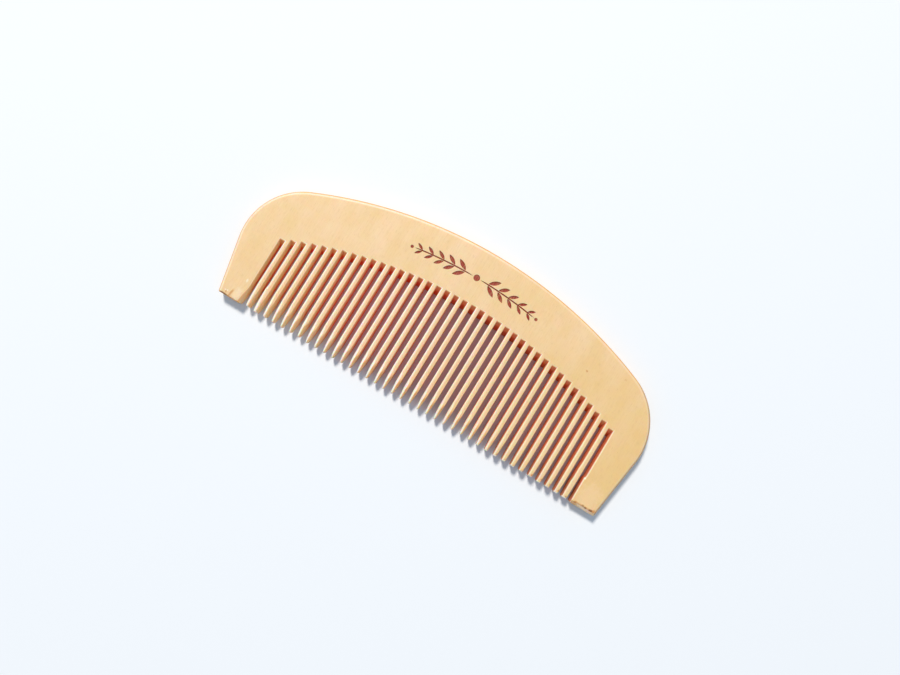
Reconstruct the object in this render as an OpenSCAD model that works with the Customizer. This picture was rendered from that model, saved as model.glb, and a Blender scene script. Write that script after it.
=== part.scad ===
// Half-moon wooden comb, cut from one board. It lies on its back face with the front face up.
// The long back is on the +Y side, the tooth tips are on the -Y side, and +X runs along the comb.

/* [Board] */
// Length of the comb, from end to end
comb_len = 150; // [145:1:160]
// Height of the comb, from the tooth tips to the top of its back
comb_h = 57; // [55:0.5:59]
// Thickness of the board
thick = 5; // [4:0.1:6]
// Height of the widest place above the tooth tips
waist_h = 24.2; // [22:0.1:26]
// Radius of the two shoulders
shoulder_r = 22; // [20:0.5:24]
// Inward lean of the left end towards the tips, in degrees
left_lean = 10.6; // [5:0.1:11]
// Inward lean of the right end towards the tips, in degrees
right_lean = 9.2; // [5:0.1:11]
// Turn of the hand-shaped outline on the row of teeth, in degrees
outline_turn = 0.8; // [-1:0.1:1]
// Rounding of the rim, on both faces
rim_r = 1.3; // [0.5:0.1:1.8]

/* [Teeth] */
// Number of teeth between the two guards
tooth_count = 38; // [30:2:38]
// Distance from one tooth to the next
pitch = 3.25; // [3.1:0.05:3.3]
// Width of each saw cut
slot_w = 1.65; // [1.3:0.05:1.75]
// Lean of the saw cuts from square, in degrees
slot_lean = 0.7; // [-1.5:0.1:1.5]
// Sideways place of the row of teeth
row_shift = 0.5; // [-1:0.1:1]
// Height of the solid back above the saw cuts
back_h = 18.4; // [16:0.2:22]
// Turn of the line on which the saw cuts end, in degrees
root_turn = 1; // [-1:0.1:1.5]
// Radius of the saw blade
blade_r = 40; // [38:1:45]
// Slant of the slot floors from upright, in degrees
floor_slant = 28; // [20:1:32]

/* [Tips] */
// Length of the taper at each tooth tip
tip_len = 6.5; // [4:0.5:9]
// Width of a tooth at its very end
tip_w = 1.15; // [0.6:0.05:1.3]
// Depth of the bevels beside each tip, on both faces
tip_bevel = 1.1; // [0.8:0.1:2]
// Bevel along the foot of the two guards
foot_bevel = 0.9; // [0.4:0.1:1.2]

/* [Sprig] */
// Length of the engraved sprig
sprig_len = 47; // [40:1:60]
// Distance of the sprig's stem from the top of the back
sprig_drop = 10; // [8:0.5:12]
// Depth of the engraving
engrave_d = 0.3; // [0.2:0.05:0.5]
// Pairs of leaves on each half of the stem
leaf_pairs = 5; // [3:1:6]
// Length of the longest leaf
leaf_len = 4.2; // [3:0.1:5]
// Width of the longest leaf
leaf_w = 1.4; // [1:0.1:2]
// Share of its length that each leaf loses to the one before it
leaf_fade = 0.09; // [0:0.01:0.12]
// Angle of the leaves to the stem, in degrees
leaf_angle = 36; // [25:1:50]
// Diameter of the bud in the middle
bud_d = 2.2; // [1.5:0.1:3]
// Width of the stem's groove
stem_w = 0.45; // [0.3:0.05:0.7]

/* [Hidden] */
wood = [0.90, 0.70, 0.46];
round_fn = 120;
// How far the cutting shapes reach past the wood
spare = 2;
waste_reach = 24;

// The arc of the back touches a circle a hair smaller than each shoulder, and so it crosses the
// shoulder itself at a slight angle
shoulder_proud = 0.1;
touch_r = shoulder_r - shoulder_proud;
shoulder_x = (comb_len / 2 - shoulder_r) / cos(outline_turn);
crown_h = comb_h - waist_h - touch_r;
back_r = touch_r + (pow(shoulder_x, 2) + pow(crown_h, 2)) / (2 * crown_h);
back_y = comb_h - back_r;
back_angle = asin(shoulder_x / (back_r - touch_r));
// The cut along the back runs on past both shoulders by this angle
back_overrun = 0.5;
end_len = waist_h / cos(max(left_lean, right_lean)) + shoulder_r;

// The blade's axle stands above the middle of the board, so that the floor of each cut slants
blade_up = blade_r * sin(floor_slant);
blade_drop = sqrt(pow(blade_r, 2) - pow(blade_up - thick / 2, 2));
mid_tooth = (comb_h - back_h) / 2;

// The slot roots follow the arc of the back, back_h lower down, and have a slight turn of their own
root_arc_drop = waist_h - back_y + back_h;
root_arc_x = root_arc_drop * sin(root_turn);
root_arc_y = waist_h - root_arc_drop * cos(root_turn);
function root_height(x) = root_arc_y + sqrt(pow(back_r, 2) - pow(x - root_arc_x, 2));

// Half-width of a slot at the tips, and how much it gains for each millimetre of the taper
mouth_reach = (pitch - tip_w) / 2;
mouth_gain = (mouth_reach - slot_w / 2) / tip_len;
valley_side = 2 * pitch;
valley_len = 4 * tip_len;

// Section of the wood that lies outside a rounded rim of radius r
module waste_section(r) {
    difference() {
        translate([r - rim_r, -spare])
            square([rim_r + waste_reach, thick + 2 * spare]);
        translate([r - 2 * rim_r, 0])
            square([rim_r, thick]);
        translate([r - 2 * rim_r, rim_r])
            square([2 * rim_r, thick - 2 * rim_r]);
        for (z = [rim_r, thick - rim_r])
            translate([r - rim_r, z])
                circle(r = rim_r, $fn = round_fn);
    }
}

// Waste above the long curved back
module back_waste() {
    half_angle = back_angle + back_overrun;
    translate([0, back_y, 0])
        rotate([0, 0, 90 - half_angle])
            rotate_extrude(angle = 2 * half_angle, $fn = round_fn)
                waste_section(back_r);
}

// Waste round one shoulder and beside the straight end below it
module end_waste(lean) {
    translate([shoulder_x, waist_h, 0])
        rotate([0, 0, -lean]) {
            rotate_extrude(angle = 90 - back_angle + lean, $fn = round_fn)
                waste_section(shoulder_r);
            rotate([90, 0, 0])
                linear_extrude(end_len)
                    waste_section(shoulder_r);
        }
}

// The board with its outline and its rounded rim, before the teeth are cut
module board() {
    difference() {
        translate([-comb_len / 2 - spare, 0, 0])
            cube([comb_len + 2 * spare, comb_h + spare, thick]);
        translate([0, waist_h, 0])
            rotate([0, 0, outline_turn])
                translate([0, -waist_h, 0]) {
                    back_waste();
                    end_waste(right_lean);
                    mirror([1, 0, 0])
                        end_waste(left_lean);
                }
    }
}

// One straight pass of the saw, up to the given height above the tips
module saw_cut(height) {
    translate([-slot_w / 2, height - blade_drop, thick / 2 + blade_up])
        rotate([0, 90, 0])
            cylinder(r = blade_r, h = slot_w, $fn = round_fn);
}

// Widening of one slot towards the tips, seen from the front
module mouth_flare() {
    translate([0, 0, -spare])
        linear_extrude(thick + 2 * spare)
            polygon([
                [slot_w / 2 - mouth_gain * tip_len, 2 * tip_len],
                [mouth_gain * tip_len - slot_w / 2, 2 * tip_len],
                [-mouth_reach - mouth_gain * spare, -spare],
                [mouth_reach + mouth_gain * spare, -spare]
            ]);
}

// Valley between two tips that bevels them both, on the front face
module mouth_valley() {
    translate([0, tip_len, thick - slot_w / 2])
        rotate([atan(tip_bevel / tip_len), 0, 0])
            rotate([0, -45, 0])
                translate([0, -valley_len / 2, 0])
                    cube([valley_side, valley_len, valley_side]);
}

// Everything that is cut away between two teeth
module slot(height) {
    saw_cut(height);
    mouth_flare();
    mouth_valley();
    translate([0, 0, thick])
        mirror([0, 0, 1])
            mouth_valley();
}

// The whole row of slots, one more than the teeth
module slot_row() {
    for (n = [0 : tooth_count]) {
        x = row_shift + (n - tooth_count / 2) * pitch;
        translate([x, mid_tooth, 0])
            rotate([0, 0, -slot_lean])
                translate([0, -mid_tooth, 0])
                    slot(root_height(x));
    }
}

// Long bevels along the foot, on both faces
module foot_bevels() {
    side = foot_bevel * sqrt(2);
    for (z = [0, thick])
        translate([0, 0, z])
            rotate([45, 0, 0])
                cube([comb_len + 2 * spare, side, side], center = true);
}

// Outline of one leaf, with its base at the origin and its tip along +X
module leaf(size) {
    half_l = leaf_len * size / 2;
    half_w = leaf_w * size / 2;
    r = (pow(half_l, 2) + pow(half_w, 2)) / (2 * half_w);
    intersection_for (side = [-1, 1])
        translate([half_l, side * (r - half_w)])
            circle(r = r, $fn = round_fn);
}

// Half of the sprig: leaves in pairs that point outwards along the stem, and a small end bud
module sprig_half(stem_r, half_angle) {
    step = half_angle / (leaf_pairs + 1);
    for (n = [1 : leaf_pairs], side = [-1, 1])
        rotate([0, 0, -n * step])
            translate([0, stem_r, 0])
                rotate([0, 0, side * leaf_angle])
                    linear_extrude(1)
                        leaf(1 - leaf_fade * (n - 1));
    rotate([0, 0, -half_angle])
        translate([0, stem_r, 0])
            cylinder(d = bud_d / 2, h = 1, $fn = round_fn);
}

// Engraved sprig on the front face: a curved stem with leaves, and a bud in the middle
module sprig() {
    stem_r = back_r - sprig_drop;
    half_angle = asin(sprig_len / 2 / stem_r);
    translate([0, back_y, thick - engrave_d]) {
        rotate([0, 0, 90 - half_angle])
            rotate_extrude(angle = 2 * half_angle, $fn = round_fn)
                translate([stem_r - stem_w / 2, 0])
                    square([stem_w, 1]);
        translate([0, stem_r, 0])
            cylinder(d = bud_d, h = 1, $fn = round_fn);
        sprig_half(stem_r, half_angle);
        mirror([1, 0, 0])
            sprig_half(stem_r, half_angle);
    }
}

// The whole comb in one piece of wood, with the origin under the middle of its box
module comb() {
    color(wood)
        translate([0, -comb_h / 2, 0])
            difference() {
                board();
                slot_row();
                foot_bevels();
                sprig();
            }
}

comb();
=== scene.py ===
"""A half-moon comb sawn from one board of pale wood, laid on its back face for a product picture.

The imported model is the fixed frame. One fine mesh stands for its wood. The two guards and the rounded
rim are a loft of rings along the board's outline, the teeth are a row made by one Geometry Nodes tree,
and the leaves of the engraved sprig are set along their stem by another. Sizes are in millimetres,
measured from the middle of the foot line on the back face, until a mesh is made in metres. The finish
and the studio are in metres.
"""

from __future__ import annotations

import logging
import math
from dataclasses import dataclass, field, replace
from enum import Enum

import bmesh
import bpy
import numpy as np
from mathutils import Matrix, Vector, noise


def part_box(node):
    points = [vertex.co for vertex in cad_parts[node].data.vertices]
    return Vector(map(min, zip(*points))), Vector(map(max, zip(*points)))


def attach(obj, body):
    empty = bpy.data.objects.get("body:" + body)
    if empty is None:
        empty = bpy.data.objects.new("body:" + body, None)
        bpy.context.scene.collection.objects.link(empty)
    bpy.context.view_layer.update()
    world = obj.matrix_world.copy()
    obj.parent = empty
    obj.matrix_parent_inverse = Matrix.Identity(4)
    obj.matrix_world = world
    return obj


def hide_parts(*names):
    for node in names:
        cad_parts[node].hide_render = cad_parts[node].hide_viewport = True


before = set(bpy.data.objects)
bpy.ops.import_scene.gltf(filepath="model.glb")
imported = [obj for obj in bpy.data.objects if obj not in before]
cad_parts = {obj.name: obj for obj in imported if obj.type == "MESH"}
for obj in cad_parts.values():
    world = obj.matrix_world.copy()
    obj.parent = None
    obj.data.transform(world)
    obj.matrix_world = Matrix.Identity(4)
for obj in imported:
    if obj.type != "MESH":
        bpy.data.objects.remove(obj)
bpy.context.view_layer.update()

LOG = logging.getLogger("comb")
MM = 0.001
IMAGE_SIZE = (900, 675)

# Width from which a facet leaves none of the saw's marks on the edge
CLEARING_FACET = 0.3

# Places of the rings between a wall's last section and the floor of its cut
ROOT_SHARES = (0.3, 0.6, 0.85, 1.0)


class Mark(str, Enum):
    """Names of the mesh attributes that the trees and the finish read."""

    SIDE = "side"
    STRETCH = "stretch"
    SHALLOW = "shallow"
    TOOTH_X = "tooth_x"
    EDGE = "edge"
    SAWN = "sawn"
    ENGRAVED = "engraved"
    CARVED = "carved"
    FLAT = "flat"
    # Painted shade on the right half of each tooth's flat
    MELLOW = "mellow"
    RIM = "rim"


class Side(Enum):
    """The two ends of the comb, as seen from its front face."""

    LEFT = -1
    RIGHT = 1

    @property
    def other(self) -> Side:
        """The opposite end."""
        return Side(-self.value)


Pair = tuple[float, float]
Triple = tuple[float, float, float]
Colour = Triple
Band = tuple[float, ...]
Ring = list[Triple]
Line = list[tuple[Vector, Vector, float]]
Socket = bpy.types.NodeSocket
Value = float | int | str | tuple | Socket


# Edge sections


@dataclass(frozen=True)
class EdgeSection:
    """Section through the edge between a face of the board and one of its side walls.

    A facet at 45 degrees may lie between the face and the wall, and both its corners are rounded. The
    section runs from the flat of the front face, over the wall, to the flat of the back face.
    """

    facet: float
    soft: float
    room: float = math.inf

    ARC = tuple(math.radians(a) for a in (0, 14, 28, 42, 48, 62, 76, 90))

    def half(self) -> list[Pair]:
        """Returns (inset, depth) pairs from the flat of a face down to the wall.

        Returns:
            Eight pairs in millimetres.
        """
        reach = max(self.facet + self.soft * math.tan(math.pi / 8), self.soft)
        face_centre = (
            min(reach, self.room),
            max(self.soft, self.facet + self.soft * math.sqrt(2) - self.room),
        )
        wall_centre = (self.soft, reach)
        points = []
        for n, turn in enumerate(self.ARC):
            inset, depth = face_centre if n < len(self.ARC) // 2 else wall_centre
            points.append((inset - self.soft * math.sin(turn), depth - self.soft * math.cos(turn)))
        return points

    def whole(self, thick: float) -> list[Pair]:
        """Returns (inset, height) pairs from the front face round to the back face.

        Args:
            thick: thickness of the board.

        Returns:
            Seventeen pairs, one for each ring of a section.
        """
        half = self.half()
        front = [(inset, thick - depth) for inset, depth in half]
        return front + [(0.0, thick / 2)] + [(inset, depth) for inset, depth in reversed(half)]


# Plan of the comb


@dataclass(frozen=True)
class Board:
    """The board's outline: a straight foot, two leaning ends, two round shoulders and a long arc."""

    length: float
    height: float
    thick: float
    waist_h: float = 24.2
    shoulder_r: float = 22.0
    left_lean: float = math.radians(10.6)
    right_lean: float = math.radians(9.2)
    turn: float = math.radians(0.8)
    rim_r: float = 1.3
    feet: tuple[EdgeSection, EdgeSection] = (EdgeSection(0.45, 0.35), EdgeSection(1.05, 0.22))
    corner_r: float = 0.6
    end_steps: int = 9
    shoulder_steps: int = 26
    back_steps: int = 64

    @property
    def shoulder_x(self) -> float:
        """Distance of a shoulder's centre from the middle of the outline."""
        return (self.length / 2 - self.shoulder_r) / math.cos(self.turn)

    @property
    def back_r(self) -> float:
        """Radius of the long arc, which touches both shoulders from outside."""
        crown_h = self.height - self.waist_h - self.shoulder_r
        return self.shoulder_r + (self.shoulder_x**2 + crown_h**2) / (2 * crown_h)

    @property
    def back_y(self) -> float:
        """Height of the long arc's centre, below the foot."""
        return self.height - self.back_r

    @property
    def back_angle(self) -> float:
        """Half of the angle that the long arc takes up."""
        return math.asin(self.shoulder_x / (self.back_r - self.shoulder_r))

    def turned(self, x: float, y: float) -> Vector:
        """Returns a point of the outline's own frame after the outline's turn on the foot."""
        spun = Matrix.Rotation(self.turn, 2) @ Vector((x, y - self.waist_h))
        return spun + Vector((0, self.waist_h))

    def foot(self, side: Side) -> EdgeSection:
        """Returns the section of the bevelled edge along one guard's foot."""
        return self.feet[0] if side is Side.LEFT else self.feet[1]

    def end_normal(self, side: Side) -> Vector:
        """Returns the outward normal of one straight end."""
        angle = self.left_lean if side is Side.LEFT else -self.right_lean
        return Matrix.Rotation(self.turn + angle, 2) @ Vector((side.value, 0))

    def end_top(self, side: Side) -> Vector:
        """Returns the point where one straight end meets its shoulder."""
        centre = self.turned(side.value * self.shoulder_x, self.waist_h)
        return centre + self.shoulder_r * self.end_normal(side)

    def foot_corner(self, side: Side) -> Vector:
        """Returns the sharp corner of the foot line and one straight end.

        Args:
            side: which end of the comb.

        Returns:
            The corner's place.
        """
        top = self.end_top(side)
        normal = self.end_normal(side)
        return Vector((top.x + top.y * normal.y / normal.x, 0))

    def crown(self) -> list[tuple[Vector, Vector]]:
        """Returns (point, outward normal) pairs from the right shoulder over the back to the left one.

        Returns:
            The pairs, in order.
        """
        joint = math.pi / 2 - self.back_angle
        right = np.linspace(-self.right_lean, joint, self.shoulder_steps + 1)
        left = np.linspace(joint, -self.left_lean, self.shoulder_steps + 1)
        back = np.linspace(joint, math.pi - joint, self.back_steps + 1)[1:-1]
        arcs = [(self.shoulder_x, self.waist_h, self.shoulder_r, a) for a in right]
        arcs += [(0.0, self.back_y, self.back_r, a) for a in back]
        arcs += [(-self.shoulder_x, self.waist_h, self.shoulder_r, math.pi - a) for a in left]
        found = []
        for x, y, radius, angle in arcs:
            point = self.turned(x + radius * math.cos(angle), y + radius * math.sin(angle))
            found.append((point, Vector((math.cos(angle + self.turn), math.sin(angle + self.turn)))))
        return found


@dataclass(frozen=True)
class TipSide:
    """How one side of every tip is shaped: it draws in towards the end, with a facet beside it."""

    draw: float
    draw_len: float
    facet: float
    facet_len: float
    point: float
    thin: float
    bow: float = 1.6
    hold: float = 1.6

    def drawn(self, y: float) -> float:
        """Returns how far the side has drawn in at the height y."""
        return self.draw * max(0.0, 1 - y / self.draw_len) ** self.bow

    def thickness(self, y: float) -> float:
        """Returns the share of the thickness that is left at the height y."""
        return 1 - self.thin * max(0.0, 1 - y / self.draw_len) ** self.bow

    def facet_width(self, y: float) -> float:
        """Returns the width of the facet at the height y."""
        share = min(1.0, self.hold * max(0.0, 1 - y / self.facet_len))
        return self.facet * share * share * (3 - 2 * share)


@dataclass(frozen=True)
class SawCuts:
    """The row of saw cuts that frees the teeth, and the shaping of the tips beside each cut."""

    board: Board
    count: int = 39
    pitch: float = 3.25
    width: float = 1.65
    lean: float = math.radians(0.7)
    shift: float = 0.5
    back_h: float = 18.4
    root_turn: float = math.radians(1.0)
    blade_r: float = 40.0
    floor_slant: float = math.radians(28)
    tips: tuple[TipSide, TipSide] = (
        TipSide(0.50, 5.0, 0.72, 10.5, 0.6, 0.36),
        TipSide(0.50, 5.0, 0.66, 7.5, 0.6, 0.36),
    )
    blunt_tips: tuple[TipSide, TipSide] = (
        TipSide(0.10, 5.0, 0.18, 3.5, 0.35, 0.08),
        TipSide(0.14, 5.0, 0.20, 2.6, 0.35, 0.08),
    )
    slip_tops: tuple[float, ...] = (8.7, 11.8)
    slip_blend: float = 0.3
    edge_soft: float = 0.4
    end_soft: float = 0.4
    end_thin: float = 0.5
    still_h: float = 8.0
    floor_reach: float = 3.5

    @property
    def lean_h(self) -> float:
        """Height at which a leaning cut crosses its own place in the row."""
        return (self.board.height - self.back_h) / 2

    @property
    def arc_centre(self) -> Vector:
        """Centre of the arc on which all the cuts end.

        Returns:
            The centre's place.
        """
        board = self.board
        drop = board.waist_h - board.back_y + self.back_h
        turn = self.root_turn
        return Vector((drop * math.sin(turn), board.waist_h - drop * math.cos(turn)))

    @property
    def half_row(self) -> float:
        """Distance from the middle of the row to its last cut."""
        return (self.count - 1) / 2 * self.pitch

    @property
    def base_root(self) -> float:
        """Root height of a cut in the middle of the row."""
        return self.root(self.shift)

    def cut_x(self, n: int) -> float:
        """Returns the place of cut n in the row."""
        return self.shift + (n - (self.count - 1) / 2) * self.pitch

    def root(self, x: float) -> float:
        """Returns the height at which the cut at x ends on the front face."""
        centre = self.arc_centre
        return centre.y + math.sqrt(self.board.back_r**2 - (x - centre.x) ** 2)

    def floor(self, root: float, z: float) -> float:
        """Returns the height of a cut's slanted floor at the level z.

        Args:
            root: the cut's root height on the front face.
            z: the level above the back face.

        Returns:
            The height in millimetres.
        """
        axle = self.board.thick / 2 + self.blade_r * math.sin(self.floor_slant)
        front = math.sqrt(self.blade_r**2 - (self.board.thick - axle) ** 2)
        return root - front + math.sqrt(self.blade_r**2 - (z - axle) ** 2)

    def tip(self, side: Side) -> TipSide:
        """Returns the shape of one side of the tips."""
        return self.tips[0] if side is Side.LEFT else self.tips[1]

    def blunt(self) -> SawCuts:
        """Returns the same cuts with the tips left nearly as wide as the teeth."""
        return replace(self, tips=self.blunt_tips)

    def stretch(self, y: float) -> float:
        """Returns how far a point of a tooth follows its root when the tooth is lengthened."""
        share = (y - self.still_h) / (self.base_root - self.floor_reach - self.still_h)
        return min(1.0, max(0.0, share))

    def leaned(self, x: float, y: float) -> float:
        """Returns x after the lean of the cuts."""
        return x + (y - self.lean_h) * math.tan(self.lean)

    def stations(self) -> list[float]:
        """Returns the heights of a tooth's sections, from its very end to the start of its root.

        Returns:
            The heights, from low to high.
        """
        end = [self.end_soft * (1 - math.cos(a)) for a in np.linspace(0, math.pi / 2, 5)]
        taper = np.linspace(self.end_soft, self.still_h, 18)[1:]
        slips = [top + way * self.slip_blend / 2 for top in self.slip_tops for way in (-1, 1)]
        shaft = np.linspace(slips[-1], self.base_root - self.floor_reach, 6)[1:]
        return [float(y) for y in (*end, *taper, *slips, *shaft)]


# Meshes from rings


@dataclass
class Skin:
    """Points, faces and point marks of a mesh in the making, in millimetres."""

    points: list[Triple] = field(default_factory=list)
    faces: list[tuple[int, ...]] = field(default_factory=list)
    marks: dict[Mark, list[float]] = field(default_factory=dict)

    def add(self, ring: Ring, **marks: list[float]) -> list[int]:
        """Adds a ring of points.

        Args:
            ring: the points.
            marks: one list of values for each mark, named by the lower-case name of the mark.

        Returns:
            The indices of the new points.
        """
        start = len(self.points)
        self.points.extend(ring)
        for name, values in marks.items():
            self.marks.setdefault(Mark(name), []).extend(values)
        return list(range(start, len(self.points)))

    def sweep(self, rings: list[list[int]]) -> None:
        """Joins neighbouring rings with faces. The wood is on the left of the sweep.

        Args:
            rings: the indices of each ring's points, from ring to ring.
        """
        for here, there in zip(rings, rings[1:]):
            for n in range(len(here) - 1):
                self.faces.append((here[n], here[n + 1], there[n + 1], there[n]))

    def mesh(self, name: str, rise: float) -> bpy.types.Mesh:
        """Makes the mesh in metres.

        Args:
            name: name of the mesh.
            rise: how far the foot line lies from the frame's origin along Y, in millimetres.

        Returns:
            The new mesh, with one point attribute for each mark.
        """
        mesh = bpy.data.meshes.new(name)
        moved = (np.array(self.points) + (0, rise, 0)) * MM
        mesh.from_pydata(moved.tolist(), [], self.faces)
        for mark, values in self.marks.items():
            attribute = mesh.attributes.new(mark.value, "FLOAT", "POINT")
            attribute.data.foreach_set("value", np.array(values, np.float32))
        return mesh


def linked(mesh: bpy.types.Mesh) -> bpy.types.Object:
    """Returns a new object of the scene for a mesh.

    Args:
        mesh: the mesh.

    Returns:
        The object.
    """
    made = bpy.data.objects.new(mesh.name, mesh)
    bpy.context.scene.collection.objects.link(made)
    return made


def mirrored(half: list[float], wall: float = 0.0) -> list[float]:
    """Returns a value for each ring of a section.

    Args:
        half: the values from the front face to the wall, which the back half repeats.
        wall: the value on the middle of the wall.
    """
    return [*half, wall, *reversed(half)]


def cleanness(facet: float) -> float:
    """Returns how far a facet of a given width has cleared the saw's marks from the edge."""
    return min(1.0, facet / CLEARING_FACET)


def sawn_share(facet: float) -> list[float]:
    """Returns how rough each ring of a section is: smooth on the faces and facets, sawn on the wall."""
    left = 1 - cleanness(facet)
    return mirrored([0.0, 0.0, 0.0, 0.1, 0.4 * left, 0.8 * left, 1.0, 1.0], 1.0)


def carved_share(facet: float) -> list[float]:
    """Returns how far each ring of a section lies on a freshly carved facet."""
    return mirrored([share * cleanness(facet) for share in (0.0, 0.3, 0.8, 1.0, 1.0, 0.8, 0.3, 0.0)])


def edge_share(first: float = 0.0) -> list[float]:
    """Returns how much each ring of a section lies on a rounded edge, worn by handling and painted with
    light and shade.

    Args:
        first: the share on the first ring, which lies on the flat of the face; there it is a painted
            highlight.
    """
    return mirrored([first, 0.7, 1.0, 0.9, 0.8, 0.5, 0.2, 0.05])


def flat_share(share: float) -> list[float]:
    """Returns how much each ring of a tooth's section lies on the flat between its two edges."""
    return mirrored([share, 0.5 * share] + [0.0] * 6)


def rim_share() -> list[float]:
    """Returns the edge share along the broad rim, worn and painted with light and shade only where it leaves
    the face.
    """
    return mirrored([0.0, 0.3, 0.5, 0.15, 0.0, 0.0, 0.0, 0.0])


def outer_share() -> list[float]:
    """Returns how far each ring lies on the outer part of the broad rim, which is painted darker."""
    return mirrored([0.0, 0.0, 0.1, 0.8, 1.0, 0.9, 0.5, 0.3], 0.3)


@dataclass
class ToothPattern:
    """One tooth with half of the floor of the cut on either side, as the row repeats it."""

    cuts: SawCuts
    # Painted highlight along the left half of each tooth's flat
    left_highlight: float = 0.35

    def build(self) -> bpy.types.Object:
        """Builds the tooth with the marks that the row's tree reads.

        Returns:
            The object, which the row's tree copies.
        """
        skin = Skin()
        left = self._wall(skin, Side.LEFT, self.cuts)
        right = self._wall(skin, Side.RIGHT, self.cuts)
        skin.sweep(left[::-1])
        skin.sweep(right)
        skin.faces.append((*left[0], *right[0][::-1]))
        for low, high in zip(range(len(left) - 2), range(1, len(left) - 1)):
            skin.faces.append((left[low][0], right[low][0], right[high][0], left[high][0]))
            skin.faces.append((left[low][-1], left[high][-1], right[high][-1], right[low][-1]))
        mesh = skin.mesh("tooth_pattern", 0)
        self._store_shallow(mesh)
        return linked(mesh)

    def _wall(self, skin: Skin, side: Side, cuts: SawCuts) -> list[list[int]]:
        """Adds the rings of one side wall.

        Args:
            skin: the mesh in the making.
            side: which side of the tooth.
            cuts: the cuts that shape it.

        Returns:
            The rings from the tip up to the root, its corner and the middle of the cut's floor.
        """
        tip = cuts.tip(side)
        rings = []
        for y in cuts.stations():
            ring = self._section(side, cuts, y)
            rings.append(self._ring(skin, ring, side, cuts.stretch(y), tip.facet_width(y)))
        half = (cuts.pitch - cuts.width) / 2
        section = EdgeSection(0.0, cuts.edge_soft).whole(cuts.board.thick)
        floor = [cuts.floor(cuts.base_root, z) + inset for inset, z in section]
        start = cuts.stations()[-1]
        for share in ROOT_SHARES:
            ring = [
                (side.value * (half - inset), start + (y - start) * share, z)
                for (inset, z), y in zip(section, floor)
            ]
            rings.append(self._ring(skin, ring, side, 1.0, 0.0, 1 - share))
        ring = [(side.value * cuts.pitch / 2, y, z) for (_, z), y in zip(section, floor)]
        rings.append(self._ring(skin, ring, side, 1.0, 0.0, 0.0))
        return rings

    def _section(self, side: Side, cuts: SawCuts, y: float) -> Ring:
        """Returns the points of one side wall at the height y. The very end thins to a point.

        Args:
            side: which side of the tooth.
            cuts: the cuts that shape the tooth.
            y: the height.

        Returns:
            One point for each ring of the section.
        """
        thick = cuts.board.thick
        tip = cuts.tip(side)
        half = (cuts.pitch - cuts.width) / 2 - tip.drawn(y)
        worn = 1 - math.sqrt(max(0.0, 1 - max(0.0, 1 - y / cuts.end_soft) ** 2))
        narrow = 1 - worn * tip.point
        thin = (1 - worn * cuts.end_thin) * tip.thickness(y)
        return [
            (side.value * (half - inset) * narrow, y, thick / 2 + (z - thick / 2) * thin)
            for inset, z in EdgeSection(tip.facet_width(y), cuts.edge_soft, half).whole(thick)
        ]

    def _ring(
        self, skin: Skin, ring: Ring, side: Side, stretch: float, facet: float, flat: float = 1.0
    ) -> list[int]:
        """Adds one ring with all its marks.

        Args:
            skin: the mesh in the making.
            ring: the ring's points.
            side: which side of the tooth.
            stretch: how far the ring follows the tooth's root.
            facet: width of the facet.
            flat: the share of the tooth's own flat, which ends in the back.

        Returns:
            The indices of the points.
        """
        return skin.add(
            ring,
            side=[float(side.value)] * len(ring),
            stretch=[stretch] * len(ring),
            sawn=sawn_share(facet),
            edge=edge_share(self.left_highlight * flat if side is Side.LEFT else 0.0),
            carved=carved_share(facet),
            flat=flat_share(flat),
            # Painted shade over the right half of the tooth's flat
            mellow=flat_share(flat if side is Side.RIGHT else 0.0),
        )

    def _store_shallow(self, mesh: bpy.types.Mesh) -> None:
        """Stores where each point lies on a tooth that is carved less deeply, as an offset.

        Args:
            mesh: the mesh of the sharper tooth.
        """
        softer = Skin()
        blunt = self.cuts.blunt()
        self._wall(softer, Side.LEFT, blunt)
        self._wall(softer, Side.RIGHT, blunt)
        here = np.empty(len(mesh.vertices) * 3, np.float32)
        mesh.vertices.foreach_get("co", here)
        offset = np.array(softer.points, np.float32).ravel() * np.float32(MM) - here
        attribute = mesh.attributes.new(Mark.SHALLOW.value, "FLOAT_VECTOR", "POINT")
        attribute.data.foreach_set("vector", offset)


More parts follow.
